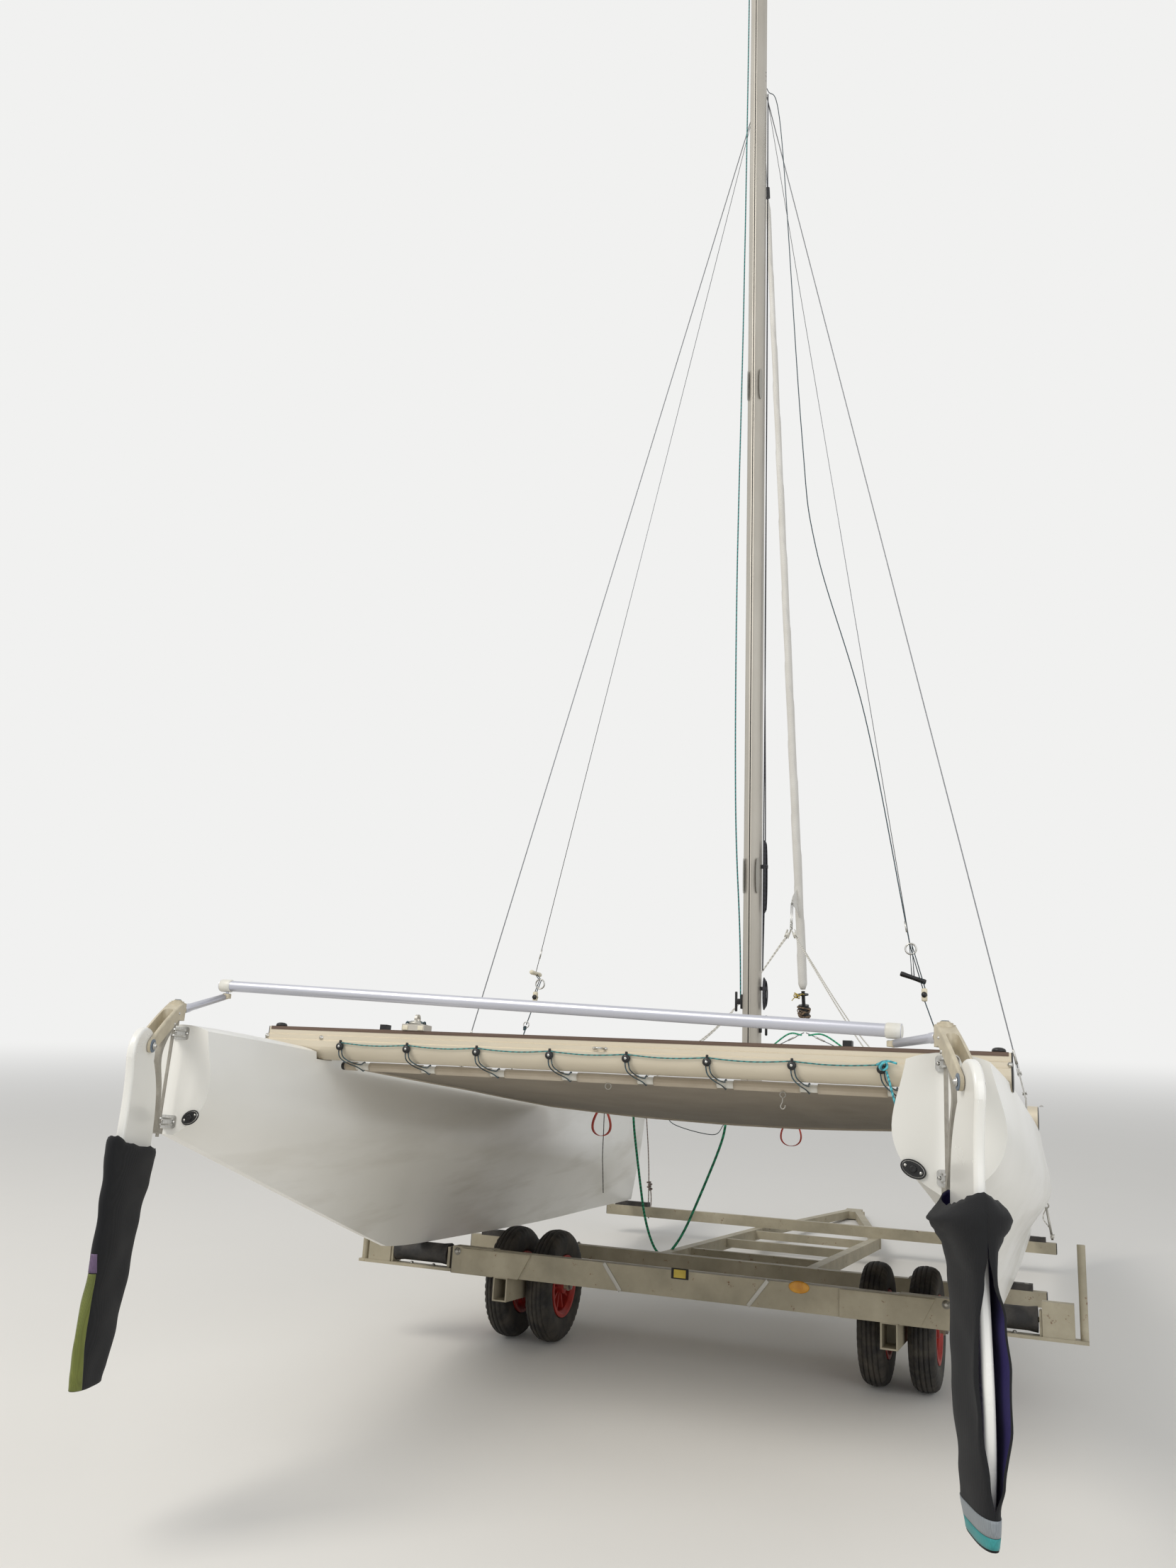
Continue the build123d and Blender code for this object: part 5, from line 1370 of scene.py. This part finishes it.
class CatamaranFittings(bpy.types.PropertyGroup):
    """Small fittings on the beams, decks, transoms and rudders."""

    bolt_radius: FloatProperty(name="Bolt radius", description="Bolt heads on the castings", default=0.006,
                               unit="LENGTH")
    lip_height: FloatProperty(name="Track lip", description="Height of the dark lips beside the track slot",
                              default=0.0012, unit="LENGTH")


TRACK_HALF = 1.101        # half the length of the lips beside the track slot


class CATAMARAN_OT_beam_fittings(bpy.types.Operator):
    """Track lips, end caps, eye and bolts of the beams, and the small pieces of the traveller"""

    bl_idname = "catamaran.beam_fittings"
    bl_label = "Beam fittings"

    def execute(self, context):
        sizes = context.scene.catamaran_fittings
        lips = bmesh.new()
        lift = sizes.lip_height
        for x in (-0.0125, 0.0125):
            slab(lips, BOAT @ Matrix.Translation((REAR_BEAM_X + x, 0, REAR_BEAM_TOP + lift / 2)),
                 (0.0150, 2 * TRACK_HALF, lift), 0.0004)
        for x, z, tall in ((-0.0188, REAR_BEAM_TOP - 0.0040, 0.010), (0.0188, REAR_BEAM_TOP - 0.0040, 0.010)):
            slab(lips, BOAT @ Matrix.Translation((REAR_BEAM_X + x, 0, z)),
                 (0.0012, 2 * TRACK_HALF, tall), 0.0003)
        put(from_bmesh("track_lips", lips), "brown_anodised", ROOT)

        caps, metal, block = bmesh.new(), bmesh.new(), bmesh.new()
        for side in (1, -1):
            outline = [(0.040 * math.cos(a), -0.005 - 0.0375 * math.sin(a)) for a in
                       (math.pi * k / 16 for k in range(17))]
            outline += [(-0.040, 0.012), (-0.030, 0.016), (-0.030, 0.028), (-0.018, 0.032), (-0.018, 0.0535),
                        (0.018, 0.0535), (0.018, 0.032), (0.030, 0.028), (0.030, 0.016), (0.040, 0.012)]
            rings = [[caps.verts.new(boat(REAR_BEAM_X + x, side * (BEAM_END + out), z)) for x, z in outline]
                     for out in (0.0002, 0.0026)]
            count = len(outline)
            for k in range(count):
                caps.faces.new((rings[0][k], rings[0][(k + 1) % count], rings[1][(k + 1) % count],
                                rings[1][k]))
            caps.faces.new(rings[1])
            lathe(caps, BOAT @ Matrix.Translation((REAR_BEAM_X, side * (BEAM_END - 0.030),
                                                   REAR_BEAM_TOP + lift)),
                  [(0, 0), (0.0175, 0), (0.0175, 0.005), (0.0150, 0.009), (0.0090, 0.0115), (0, 0.0125)], 24)
            place = upright(boat(MAIN_BEAM_X, side * BEAM_END, MAIN_BEAM_Z),
                            BOAT.to_3x3() @ Vector((0, side, 0)))
            lathe(caps, place, [(0, 0), (0.044, 0), (0.044, 0.001), (0.040, 0.0018), (0, 0.0018)], 32)
        put(from_bmesh("beam_end_caps", caps), "black_plastic", ROOT)

        aft = BOAT.to_3x3() @ Vector((-1, 0, 0))
        eye = boat(REAR_BEAM_X - 0.031, -0.015, 0.0225)
        for y in (-0.009, 0.009):
            bolt_head(metal, upright(eye + Vector((0, y * 1.9, 0)), aft), 0.0028)
        tube(metal, eased([eye + Vector((0, -0.011, 0)), eye + aft * 0.014 + Vector((0, -0.010, 0)),
                           eye + aft * 0.021, eye + aft * 0.014 + Vector((0, 0.010, 0)),
                           eye + Vector((0, 0.011, 0))], 6), 0.0026, 8)
        for y in (0.905, -0.905, 1.105, -1.105):
            bolt_head(metal, upright(boat(REAR_BEAM_X - 0.0305, y, 0.0225), aft), 0.0042)
        for y in (0.86, 1.12):
            for side in (1, -1):
                bolt_head(metal, upright(boat(MAIN_BEAM_X, side * y, MAIN_BEAM_Z + MAIN_BEAM_RADIUS - 0.0004),
                                         BOAT.to_3x3() @ Vector((0, 0, 1))), 0.0055)
        put(from_bmesh("beam_bolts_and_eye", metal), "stainless", ROOT)

        place = BOAT @ Matrix.Translation((REAR_BEAM_X, TRAVELLER_Y, REAR_BEAM_TOP))
        for x in (-0.026, 0.026):
            for y in (-0.024, 0.024):
                lathe(block, place @ Matrix.Translation((x * 0.55, y, 0.0206)),
                      [(0, 0), (0.0048, 0), (0.0042, 0.0018), (0, 0.0022)], 12)
        hoop(block, place @ Matrix.Translation((0, 0, 0.030)), 0.0135, 0.0022, 22)
        put(from_bmesh("traveller_screws", block), "stainless", "traveller")
        dome, feet = bmesh.new(), bmesh.new()
        lathe(dome, place, [(0.0120, 0.0200), (0.0235, 0.0202), (0.0245, 0.0225), (0.0240, 0.0262),
                            (0.0190, 0.0295),
                            (0.0120, 0.0305)], 30)
        put(from_bmesh("traveller_swivel", dome), "galvanised", "traveller")
        for x in (-0.0246, 0.0246):
            for y in (-0.026, 0.026):
                slab(feet, place @ Matrix.Translation((x, y, 0.0095)), (0.0030, 0.018, 0.013), 0.0012)
        put(from_bmesh("traveller_feet", feet), "cream_plastic", "traveller")

        pulls = bmesh.new()
        for y_way in (1, -1):
            path = [place @ Vector((-0.004, y_way * 0.033, 0.0210)),
                    place @ Vector((-0.012, y_way * 0.026, 0.0245)),
                    place @ Vector((-0.006, y_way * 0.014, 0.0300))]
            tube(pulls, eased(path, 6), 0.0022, 6)
            hoop(pulls, upright(place @ Vector((-0.008, y_way * 0.029, 0.0235)), (0.3, 1, 0.2)),
                 0.005, 0.0022, 12)
        put(from_bmesh("traveller_line_ends", pulls), "dark_teal_line", "traveller")
        return {"FINISHED"}


class CATAMARAN_OT_hull_fittings(bpy.types.Operator):
    """Screws, drain bungs, hatch screws, and the caps, washers, bolts and arms of the rudder gear"""

    bl_idname = "catamaran.hull_fittings"
    bl_label = "Hull and rudder fittings"

    def execute(self, context):
        sizes = context.scene.catamaran_fittings
        aft = BOAT.to_3x3() @ Vector((-1, 0, 0))
        heads, bungs, vents = bmesh.new(), bmesh.new(), bmesh.new()
        for side in (1, -1):
            for z in EYE_ZS:
                for y in (-0.019, 0.019):
                    bolt_head(heads, upright(boat(-0.0040, side * HULL_Y + y, z), aft), 0.0028)
            lean = math.radians(-25 * side)
            middle = boat(-0.006, side * (HULL_Y - 0.072), -0.236)
            way = BOAT.to_3x3() @ Vector((0, math.cos(lean), math.sin(lean)))
            rim = []
            other = aft.cross(way)
            for k in range(40):
                a = 2 * math.pi * k / 40
                rim.append(middle - aft * 0.0022 + way * 0.0262 * math.cos(a) + other * 0.0162 * math.sin(a))
            tube(bungs, rim, 0.0018, 8, True)
            face = [bungs.verts.new(middle + aft * 0.0004 + way * 0.0238 * math.cos(a)
                                    + other * 0.0138 * math.sin(a)) for a in (2 * math.pi * k / 40 for k in range(40))]
            bungs.faces.new(face)
            lathe(vents, upright(middle + aft * 0.0030, aft),
                  [(0.0072, -0.002), (0.0076, 0.0), (0.0060, 0.0012), (0.0035, 0.0004), (0, 0.0002)], 20)
            for y in (-0.0175, 0.0175):
                lathe(heads, upright(middle + aft * 0.0006 + way * y, aft),
                      [(0, 0), (0.0034, 0), (0.0030, 0.0012), (0, 0.0016)], 12)
            deck = BOAT @ Matrix.Translation((HATCH_X, side * HULL_Y, -0.0290))
            for k in range(8):
                a = 2 * math.pi * (k + 0.5) / 8
                lathe(heads, deck @ Matrix.Translation((0.0565 * math.cos(a), 0.0565 * math.sin(a), -0.0012)),
                      [(0, 0), (0.0030, 0), (0.0026, 0.0010), (0, 0.0014)], 10)
        put(from_bmesh("hull_screws", heads), "stainless", ROOT)
        put(from_bmesh("drain_bung_faces", bungs), "black_plastic", ROOT)
        put(from_bmesh("drain_bung_vents", vents), "black_plastic", ROOT)

        ends = bmesh.new()
        port, starboard = (Vector(tiller_tip(side)) + Vector((0, 0, CROSSBAR_LIFT)) for side in (1, -1))
        along = (port - starboard).normalized()
        for end, way in ((port + along * CROSSBAR_OVERHANG, -1), (starboard - along * CROSSBAR_OVERHANG, 1)):
            place = upright(boat(*(end - along * way * 0.0012)), BOAT.to_3x3() @ (along * way))
            lathe(ends, place, [(0, 0), (0.014, 0.0), (0.0176, 0.003), (0.0178, 0.033), (0.0165, 0.0362),
                                (0.0152, 0.0372)], 28)
        put(from_bmesh("tiller_bar_caps", ends), "white_plastic", "tiller")
        for side, word in ((1, "port"), (-1, "starboard")):
            place = rudder_frame(side)
            bm, washers, tube_parts = bmesh.new(), bmesh.new(), bmesh.new()
            for y_side in (1, -1):
                across = place.to_3x3() @ Vector((0, y_side, 0))
                lathe(washers, upright(place @ Vector((BLADE_PIVOT_X - PINTLE_X, y_side * 0.0212,
                                                       BLADE_PIVOT_Z)), across),
                      [(0, 0), (0.017, 0), (0.0168, 0.0016), (0.0120, 0.0022), (0, 0.0022)], 26)
                bolt_head(bm, upright(place @ Vector((BLADE_PIVOT_X - PINTLE_X, y_side * 0.0245,
                                                      BLADE_PIVOT_Z)), across),
                          sizes.bolt_radius)
                for x, z in ((-0.030, 0.030), (-0.052, 0.0)):
                    bolt_head(bm, upright(place @ Vector((x, y_side * 0.0208, z)), across), 0.0026)
            lathe(washers, place @ Matrix.Translation((0, 0, HEAD_TOP_Z + 0.0070)),
                  [(0, 0), (0.0085, 0), (0.0080, 0.0022), (0, 0.0026)], 18)
            tip = boat(*tiller_tip(side))
            top = BOAT.to_3x3() @ Vector((0, 0, 1))
            lathe(washers, upright(tip + top * 0.0060, top),
                  [(0, 0), (0.0105, 0), (0.0105, 0.0012), (0, 0.0014)], 20)
            put(from_bmesh("rudder_washers_" + word, washers), "blue_grey_washer", "rudder_" + word)
            put(from_bmesh("rudder_bolts_" + word, bm), "stainless", "rudder_" + word)
            root = boat(PINTLE_X, side * HULL_Y, HEAD_TOP_Z - 0.023)
            way = (tip - root).normalized()
            span = (tip - root).length
            tube_parts_place = upright(root, way)
            lathe(tube_parts, tube_parts_place,
                  [(0.0112, 0.026), (0.0120, 0.028), (0.0118, 0.045), (0.0104, 0.049),
                   (0.0091, span - 0.012), (0.0086, span - 0.0115)], 26)
            put(from_bmesh("tiller_arm_" + word, tube_parts), "crossbar_alloy", "rudder_" + word)
        return {"FINISHED"}


class CatamaranTrolley(bpy.types.PropertyGroup):
    """Small pieces of the trolley."""

    bolt_radius: FloatProperty(name="Bolt radius", description="Bolts of the beams and hangers",
                               default=0.008,
                               unit="LENGTH")
    weld_radius: FloatProperty(name="Weld radius", description="Weld beads at the joints", default=0.0035,
                               unit="LENGTH")


def trolley(x, y, z):
    """Point given in the trolley's own frame."""
    return TROLLEY @ Vector((x, y, z))


class CATAMARAN_OT_trolley_fittings(bpy.types.Operator):
    """Bolts, welds, tube end caps, reflector, plate and rod of the trolley"""

    bl_idname = "catamaran.trolley_fittings"
    bl_label = "Trolley fittings"

    def execute(self, context):
        sizes = context.scene.catamaran_trolley
        bolts, caps, welds = bmesh.new(), bmesh.new(), bmesh.new()
        turn = TROLLEY.to_3x3()
        aft, up = turn @ Vector((-1, 0, 0)), turn @ Vector((0, 0, 1))
        r = sizes.bolt_radius
        for side in (1, -1):
            y = side * WHEEL_PAIR_Y
            bolt_head(bolts, upright(trolley(REAR_CROSS_X - 0.0282, side * 0.848, 0.006), aft), r)
            for x in (0.020, -0.012):
                for shift in (-0.012, 0.012):
                    bolt_head(bolts, upright(trolley(x - 0.004, y + shift * 1.4, 0.0002), up), r * 0.8)
            for y_out in (0.955, 1.045):
                bolt_head(bolts, upright(trolley(REAR_CROSS_X, side * y_out, -0.0552), up), r * 0.8)
            for x in (0.0, FRONT_CROSS_X):
                z = 0.022 if x < 1 else 0.072
                for shift in (-0.070, 0.070):
                    lathe(bolts, upright(trolley(x, side * (HULL_Y - 0.020) + shift, z - 0.0006), up),
                          [(0, 0), (0.0085, 0), (0.0075, 0.0012), (0, 0.0014)], 16)
            for x, y_end, z, wide, tall in ((0.0, CROSS_HALF, -0.025, 0.050, 0.050),
                                            (FRONT_CROSS_X, CROSS_HALF, 0.025, 0.050, 0.050),
                                            (REAR_CROSS_X, REAR_CROSS_HALF, -0.0225, 0.056, 0.091)):
                slab(caps, TROLLEY @ Matrix.Translation((x, side * (y_end + 0.0015), z)),
                     (wide - 0.002, 0.003, tall - 0.002), 0.001)
            for x in (0.025, FRONT_CROSS_X - 0.025):
                for shift in (-0.020, 0.020):
                    z = -0.001 if x < 1 else -0.0005
                    tube(welds, [trolley(x, side * 0.29 + shift, -0.048), trolley(x, side * 0.29 + shift, z)],
                         sizes.weld_radius, 8)
            for x in RUNG_XS:
                for edge in (-0.015, 0.015):
                    steps = 9
                    tube(welds, [trolley(x + edge, side * 0.270, -0.036 + 0.030 * k / steps)
                                 for k in range(steps + 1)],
                         sizes.weld_radius * 0.8, 6)
        put(from_bmesh("trolley_bolts", bolts), "galvanised", ROOT)
        put(from_bmesh("trolley_tube_caps", caps), "black_plastic", ROOT)
        put(from_bmesh("trolley_welds", welds), "trolley_paint", ROOT)

        mark, plate = bmesh.new(), bmesh.new()
        place = upright(Vector((1.3745 - FRAME_SHIFT, -0.389, 0.349)), aft)
        lens = place @ Matrix.Diagonal((1.0, 0.56, 1.0, 1.0))
        lathe(mark, lens, [(0, -0.0030), (0.0330, -0.0030), (0.0340, 0.0), (0.0310, 0.0026), (0.0290, 0.0030),
                           (0.0270, 0.0038), (0, 0.0050)], 40)
        put(from_bmesh("amber_reflector", mark), "amber_plastic", ROOT)
        place = upright(Vector((1.3745 - FRAME_SHIFT, 0.013, 0.350)), aft)
        slab(plate, place, (0.042, 0.026, 0.005), 0.001)
        put(from_bmesh("blank_plate", plate), "yellow_plate", ROOT)
        # The recess round the plate is a thin near-black slab behind it: painted shade standing in for the recess's
        # shadow.
        recess_shade, straps = bmesh.new(), bmesh.new()
        slab(recess_shade, place, (0.060, 0.034, 0.0016), 0.0006)
        put(from_bmesh("plate_recess_painted_shade", recess_shade), "painted_shade_slot", ROOT)
        for side in (1, -1):
            high, low = (trolley(REAR_CROSS_X - 0.0262, side * y, z)
                         for y, z in ((0.286, 0.0195), (0.222, -0.0645)))
            slab(straps, upright((high + low) / 2, high - low, aft),
                 (0.013, 0.0030, (high - low).length), 0.0008)
        put(from_bmesh("crossbeam_strips", straps), "galvanised", ROOT)

        bm = bmesh.new()
        near, far = REAR_CROSS_X - 0.0284, REAR_CROSS_X - 0.0312
        for outline in (((0.830, 0.0185), (0.560, 0.0185), (0.604, -0.0655), (0.830, -0.0655)),
                        ((-0.520, 0.0185), (-0.815, 0.0185), (-0.770, -0.0655), (-0.520, -0.0655))):
            rings = [[bm.verts.new(trolley(x, y, z)) for y, z in outline]
                     for x in (REAR_CROSS_X - 0.0248, far)]
            for k in range(4):
                bm.faces.new((rings[0][k], rings[0][(k + 1) % 4], rings[1][(k + 1) % 4], rings[1][k]))
            bm.faces.new(rings[1])
            bm.faces.new(rings[0][::-1])
            middle = (outline[0][0] + outline[1][0]) / 2
            slab(bm, TROLLEY @ Matrix.Translation(((near + far) / 2 - 0.003, middle, 0.0175)),
                 (0.0090, abs(outline[0][0] - outline[1][0]), 0.0028), 0.0008)
        put(from_bmesh("crossbeam_stiffeners", bm, False), "trolley_paint", ROOT)

        rod, rod_line = bmesh.new(), bmesh.new()
        foot, head = boat(3.735, -1.105, -0.545), boat(3.718, -1.083, -0.403)
        tube(rod, [foot, head], 0.0055, 10)
        hoop(rod, upright(head + Vector((0, 0, 0.010)), (1, 0, 0)), 0.011, 0.0035, 18)
        put(from_bmesh("tie_rod", rod), "galvanised", ROOT)
        path = [head + Vector((0, 0, 0.004)), head + Vector((0.010, 0.016, -0.05)),
                foot + Vector((0.012, 0.012, 0.05)),
                foot + Vector((0.004, 0.006, 0.012))]
        tube(rod_line, eased(path, 8), 0.0024, 6)
        for k in range(3):
            hoop(rod_line, upright(foot + Vector((0, 0, 0.010 + 0.006 * k)), (0.1, 0.2, 1)),
                 0.0082, 0.0024, 14)
        put(from_bmesh("tie_line", rod_line), "white_line", ROOT)
        return {"FINISHED"}


class CATAMARAN_OT_wheel_fittings(bpy.types.Operator):
    """Hub faces, spoke ribs, valves and axle nuts"""

    bl_idname = "catamaran.wheel_fittings"
    bl_label = "Wheel fittings"

    def execute(self, context):
        for side, word in ((1, "port"), (-1, "starboard")):
            hubs, valves, nuts = bmesh.new(), bmesh.new(), bmesh.new()
            for offset in (WHEEL_OFFSET, -WHEEL_OFFSET):
                centre = Vector((WHEEL_X - FRAME_SHIFT, side * (WHEEL_PAIR_Y + offset), WHEEL_R))
                for face in (1, -1):
                    out = Vector((0, face, 0))
                    place = upright(centre + out * 0.038, out)
                    lathe(hubs, place, [(0.0108, 0.002), (0.0150, 0.0028), (0.0235, 0.0020), (0.0262, -0.003),
                                        (0.0268, -0.020), (0.0300, -0.0325), (0.0300, -0.0338)], 26)
                    for k in range(10):
                        a = 2 * math.pi * k / 10
                        ridge = [centre + Vector((r * math.sin(a), face * y, r * math.cos(a))) for r, y in
                                 ((0.028, 0.0050), (0.060, 0.0058), (0.088, 0.0050))]
                        tube(hubs, eased(ridge, 4), [0.0032] * 9, 6)
                a = 0.9 + offset * 4
                root = centre + Vector((0.0905 * math.sin(a), side * 0.016, 0.0905 * math.cos(a)))
                tube(valves, [root, root + Vector((-0.012 * math.sin(a), side * 0.024,
                                                   -0.012 * math.cos(a)))], 0.0040, 10)
            put(from_bmesh("wheel_hubs_" + word, hubs), "rim_paint", "wheels_" + word)
            put(from_bmesh("tyre_valves_" + word, valves), "black_plastic", "wheels_" + word)
            for end in (1, -1):
                out = Vector((0, end, 0))
                reach = WHEEL_OFFSET + 0.044 + 0.008 + 0.006
                place = upright(Vector((WHEEL_X - FRAME_SHIFT, side * WHEEL_PAIR_Y + end * reach, WHEEL_R)),
                                out)
                lathe(nuts, place, [(0, 0), (0.0135, 0), (0.0135, 0.0015), (0.0112, 0.0018), (0.0112, 0.0085),
                                    (0.0102, 0.0095), (0.0060, 0.0098), (0.0060, 0.0115), (0, 0.012)], 6)
            put(from_bmesh("axle_nuts_" + word, nuts, False), "galvanised", ROOT)
        return {"FINISHED"}


class CatamaranStage(bpy.types.PropertyGroup):
    """Light and floor."""

    sky_strength: FloatProperty(name="Sky strength", description="Even light from all around",
                                default=0.55, min=0.0)
    key_power: FloatProperty(name="Key power", description="Large lamp high behind the port quarter",
                             default=620.0, min=0.0, unit="POWER")
    floor_colour: FloatVectorProperty(name="Floor colour", description="Pale floor", subtype="COLOR",
                                      size=4, default=linear("#E4E1DB"), min=0.0, max=1.0)
    floor_size: FloatProperty(name="Floor size", description="Side of the floor", default=120.0,
                              unit="LENGTH")


HORIZON = "#F1F1F0"       # the sky, and the floor far away
SENSOR_WIDTH = 36.0


def seen_directly(tree):
    """1 for rays from the camera or off glossy surfaces, else 0."""
    rays = add(tree, "ShaderNodeLightPath")
    return add(tree, "ShaderNodeMath", {0: rays.outputs["Is Camera Ray"], 1: rays.outputs["Is Glossy Ray"]},
               operation="MAXIMUM").outputs["Value"]


class CATAMARAN_OT_stage(bpy.types.Operator):
    """Floor, lamps, sky and camera"""

    bl_idname = "catamaran.stage"
    bl_label = "Stage"

    def execute(self, context):
        sizes = context.scene.catamaran_stage
        half = sizes.floor_size / 2
        bm = bmesh.new()
        bmesh.ops.create_grid(bm, x_segments=1, y_segments=1, size=half)
        floor = from_bmesh("floor", bm, False)
        made, tree, shader, place = start("pale_floor", 0.9)
        tone = noise_at(tree, place, 2.0)
        colour = blend_colour(tree, spread(tree, tone, 0.0, 0.12), tuple(sizes.floor_colour),
                              linear("#D8D4CC"))
        tree.links.new(colour, shader.inputs["Base Color"])
        away = add(tree, "ShaderNodeVectorMath", {0: place}, operation="LENGTH").outputs["Value"]
        fade = add(tree, "ShaderNodeMapRange", {"Value": away, "From Min": 4.5, "From Max": 24.0},
                   interpolation_type="SMOOTHSTEP").outputs["Result"]
        share = add(tree, "ShaderNodeMath", {0: fade, 1: seen_directly(tree)},
                    operation="MULTIPLY").outputs["Value"]
        glow = add(tree, "ShaderNodeEmission", {"Color": linear(HORIZON), "Strength": 1.0})
        both = add(tree, "ShaderNodeMixShader", {0: share, 1: shader.outputs[0], 2: glow.outputs[0]})
        tree.links.new(both.outputs[0], tree.nodes["Material Output"].inputs["Surface"])
        floor.data.materials.append(made)
        floor.location.z = -0.0005

        world = context.scene.world or bpy.data.worlds.new("sky")
        context.scene.world = world
        world.use_nodes = True
        tree = world.node_tree
        tree.nodes.clear()
        seen = seen_directly(tree)
        light = add(tree, "ShaderNodeBackground", {"Color": (0.93, 0.96, 1.0, 1.0),
                                                   "Strength": sizes.sky_strength})
        show = add(tree, "ShaderNodeBackground", {"Color": linear(HORIZON), "Strength": 1.0})
        both = add(tree, "ShaderNodeMixShader", {0: seen, 1: light.outputs[0], 2: show.outputs[0]})
        add(tree, "ShaderNodeOutputWorld", {"Surface": both.outputs[0]})

        for name, place, size, share, colour in (
                ("key", (-7.0, 5.0, 9.0), 5.0, 1.0, (1.0, 0.97, 0.92)),
                ("fill", (-6.0, -6.0, 4.0), 6.0, 0.35, (0.95, 0.97, 1.0))):
            lamp = bpy.data.lights.new(name, "AREA")
            lamp.shape = "SQUARE"
            lamp.size = size
            lamp.energy = sizes.key_power * share
            lamp.color = colour
            hung = bpy.data.objects.new(name, lamp)
            context.collection.objects.link(hung)
            hung.location = place
            hung.rotation_euler = (Vector((0, 0, 0.8)) - Vector(place)).to_track_quat("-Z", "Y").to_euler()

        lens = bpy.data.cameras.new("camera")
        camera = bpy.data.objects.new("camera", lens)
        context.collection.objects.link(camera)
        lens.sensor_fit = "HORIZONTAL"
        lens.sensor_width = SENSOR_WIDTH
        lens.lens = SENSOR_WIDTH * FOCAL_PX / FRAME_WIDTH_PX
        lens.clip_end = 500.0
        aim(camera)
        context.scene.camera = camera
        context.scene.view_settings.view_transform = "Standard"
        return {"FINISHED"}


class CATAMARAN_OT_finishes(bpy.types.Operator):
    """Materials, and those of the solids that stay in sight"""

    bl_idname = "catamaran.finishes"
    bl_label = "Finishes"

    def execute(self, context):
        make_finishes()
        for name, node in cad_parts.items():
            node.data.materials.clear()
            node.data.materials.append(finish_of(name))
        return {"FINISHED"}


class CATAMARAN_PT_panel(bpy.types.Panel):
    """Lists the steps that dress the boat"""

    bl_idname = "CATAMARAN_PT_panel"
    bl_label = "Catamaran"
    bl_space_type = "VIEW_3D"
    bl_region_type = "UI"
    bl_category = "Catamaran"

    def draw(self, context):
        for step in OPERATORS:
            self.layout.operator(step.bl_idname)
        for name, group in GROUPS.items():
            for key in group.__annotations__:
                self.layout.prop(getattr(context.scene, name), key)


OPERATORS = (
    CATAMARAN_OT_finishes, CATAMARAN_OT_stage, CATAMARAN_OT_trampoline, CATAMARAN_OT_lacing,
    CATAMARAN_OT_covers,
    CATAMARAN_OT_jib, CATAMARAN_OT_jib_clew, CATAMARAN_OT_tyres, CATAMARAN_OT_mast, CATAMARAN_OT_trapezes,
    CATAMARAN_OT_stay_fittings, CATAMARAN_OT_cords, CATAMARAN_OT_beam_fittings, CATAMARAN_OT_hull_fittings,
    CATAMARAN_OT_trolley_fittings, CATAMARAN_OT_wheel_fittings,
)
GROUPS = {
    "catamaran_stage": CatamaranStage, "catamaran_trampoline": CatamaranTrampoline,
    "catamaran_lacing": CatamaranLacing, "catamaran_covers": CatamaranCovers, "catamaran_jib": CatamaranJib,
    "catamaran_tyres": CatamaranTyres, "catamaran_rig": CatamaranRig, "catamaran_cords": CatamaranCords,
    "catamaran_fittings": CatamaranFittings, "catamaran_trolley": CatamaranTrolley,
}
CLASSES = tuple(GROUPS.values()) + OPERATORS + (CATAMARAN_PT_panel,)


def register():
    for one in CLASSES:
        bpy.utils.register_class(one)
    for name, group in GROUPS.items():
        setattr(bpy.types.Scene, name, PointerProperty(type=group))


def unregister():
    for name in GROUPS:
        delattr(bpy.types.Scene, name)
    for one in reversed(CLASSES):
        bpy.utils.unregister_class(one)


def main():
    register()
    for step in OPERATORS:
        group, name = step.bl_idname.split(".")
        getattr(getattr(bpy.ops, group), name)()


if __name__ == "__main__":
    main()
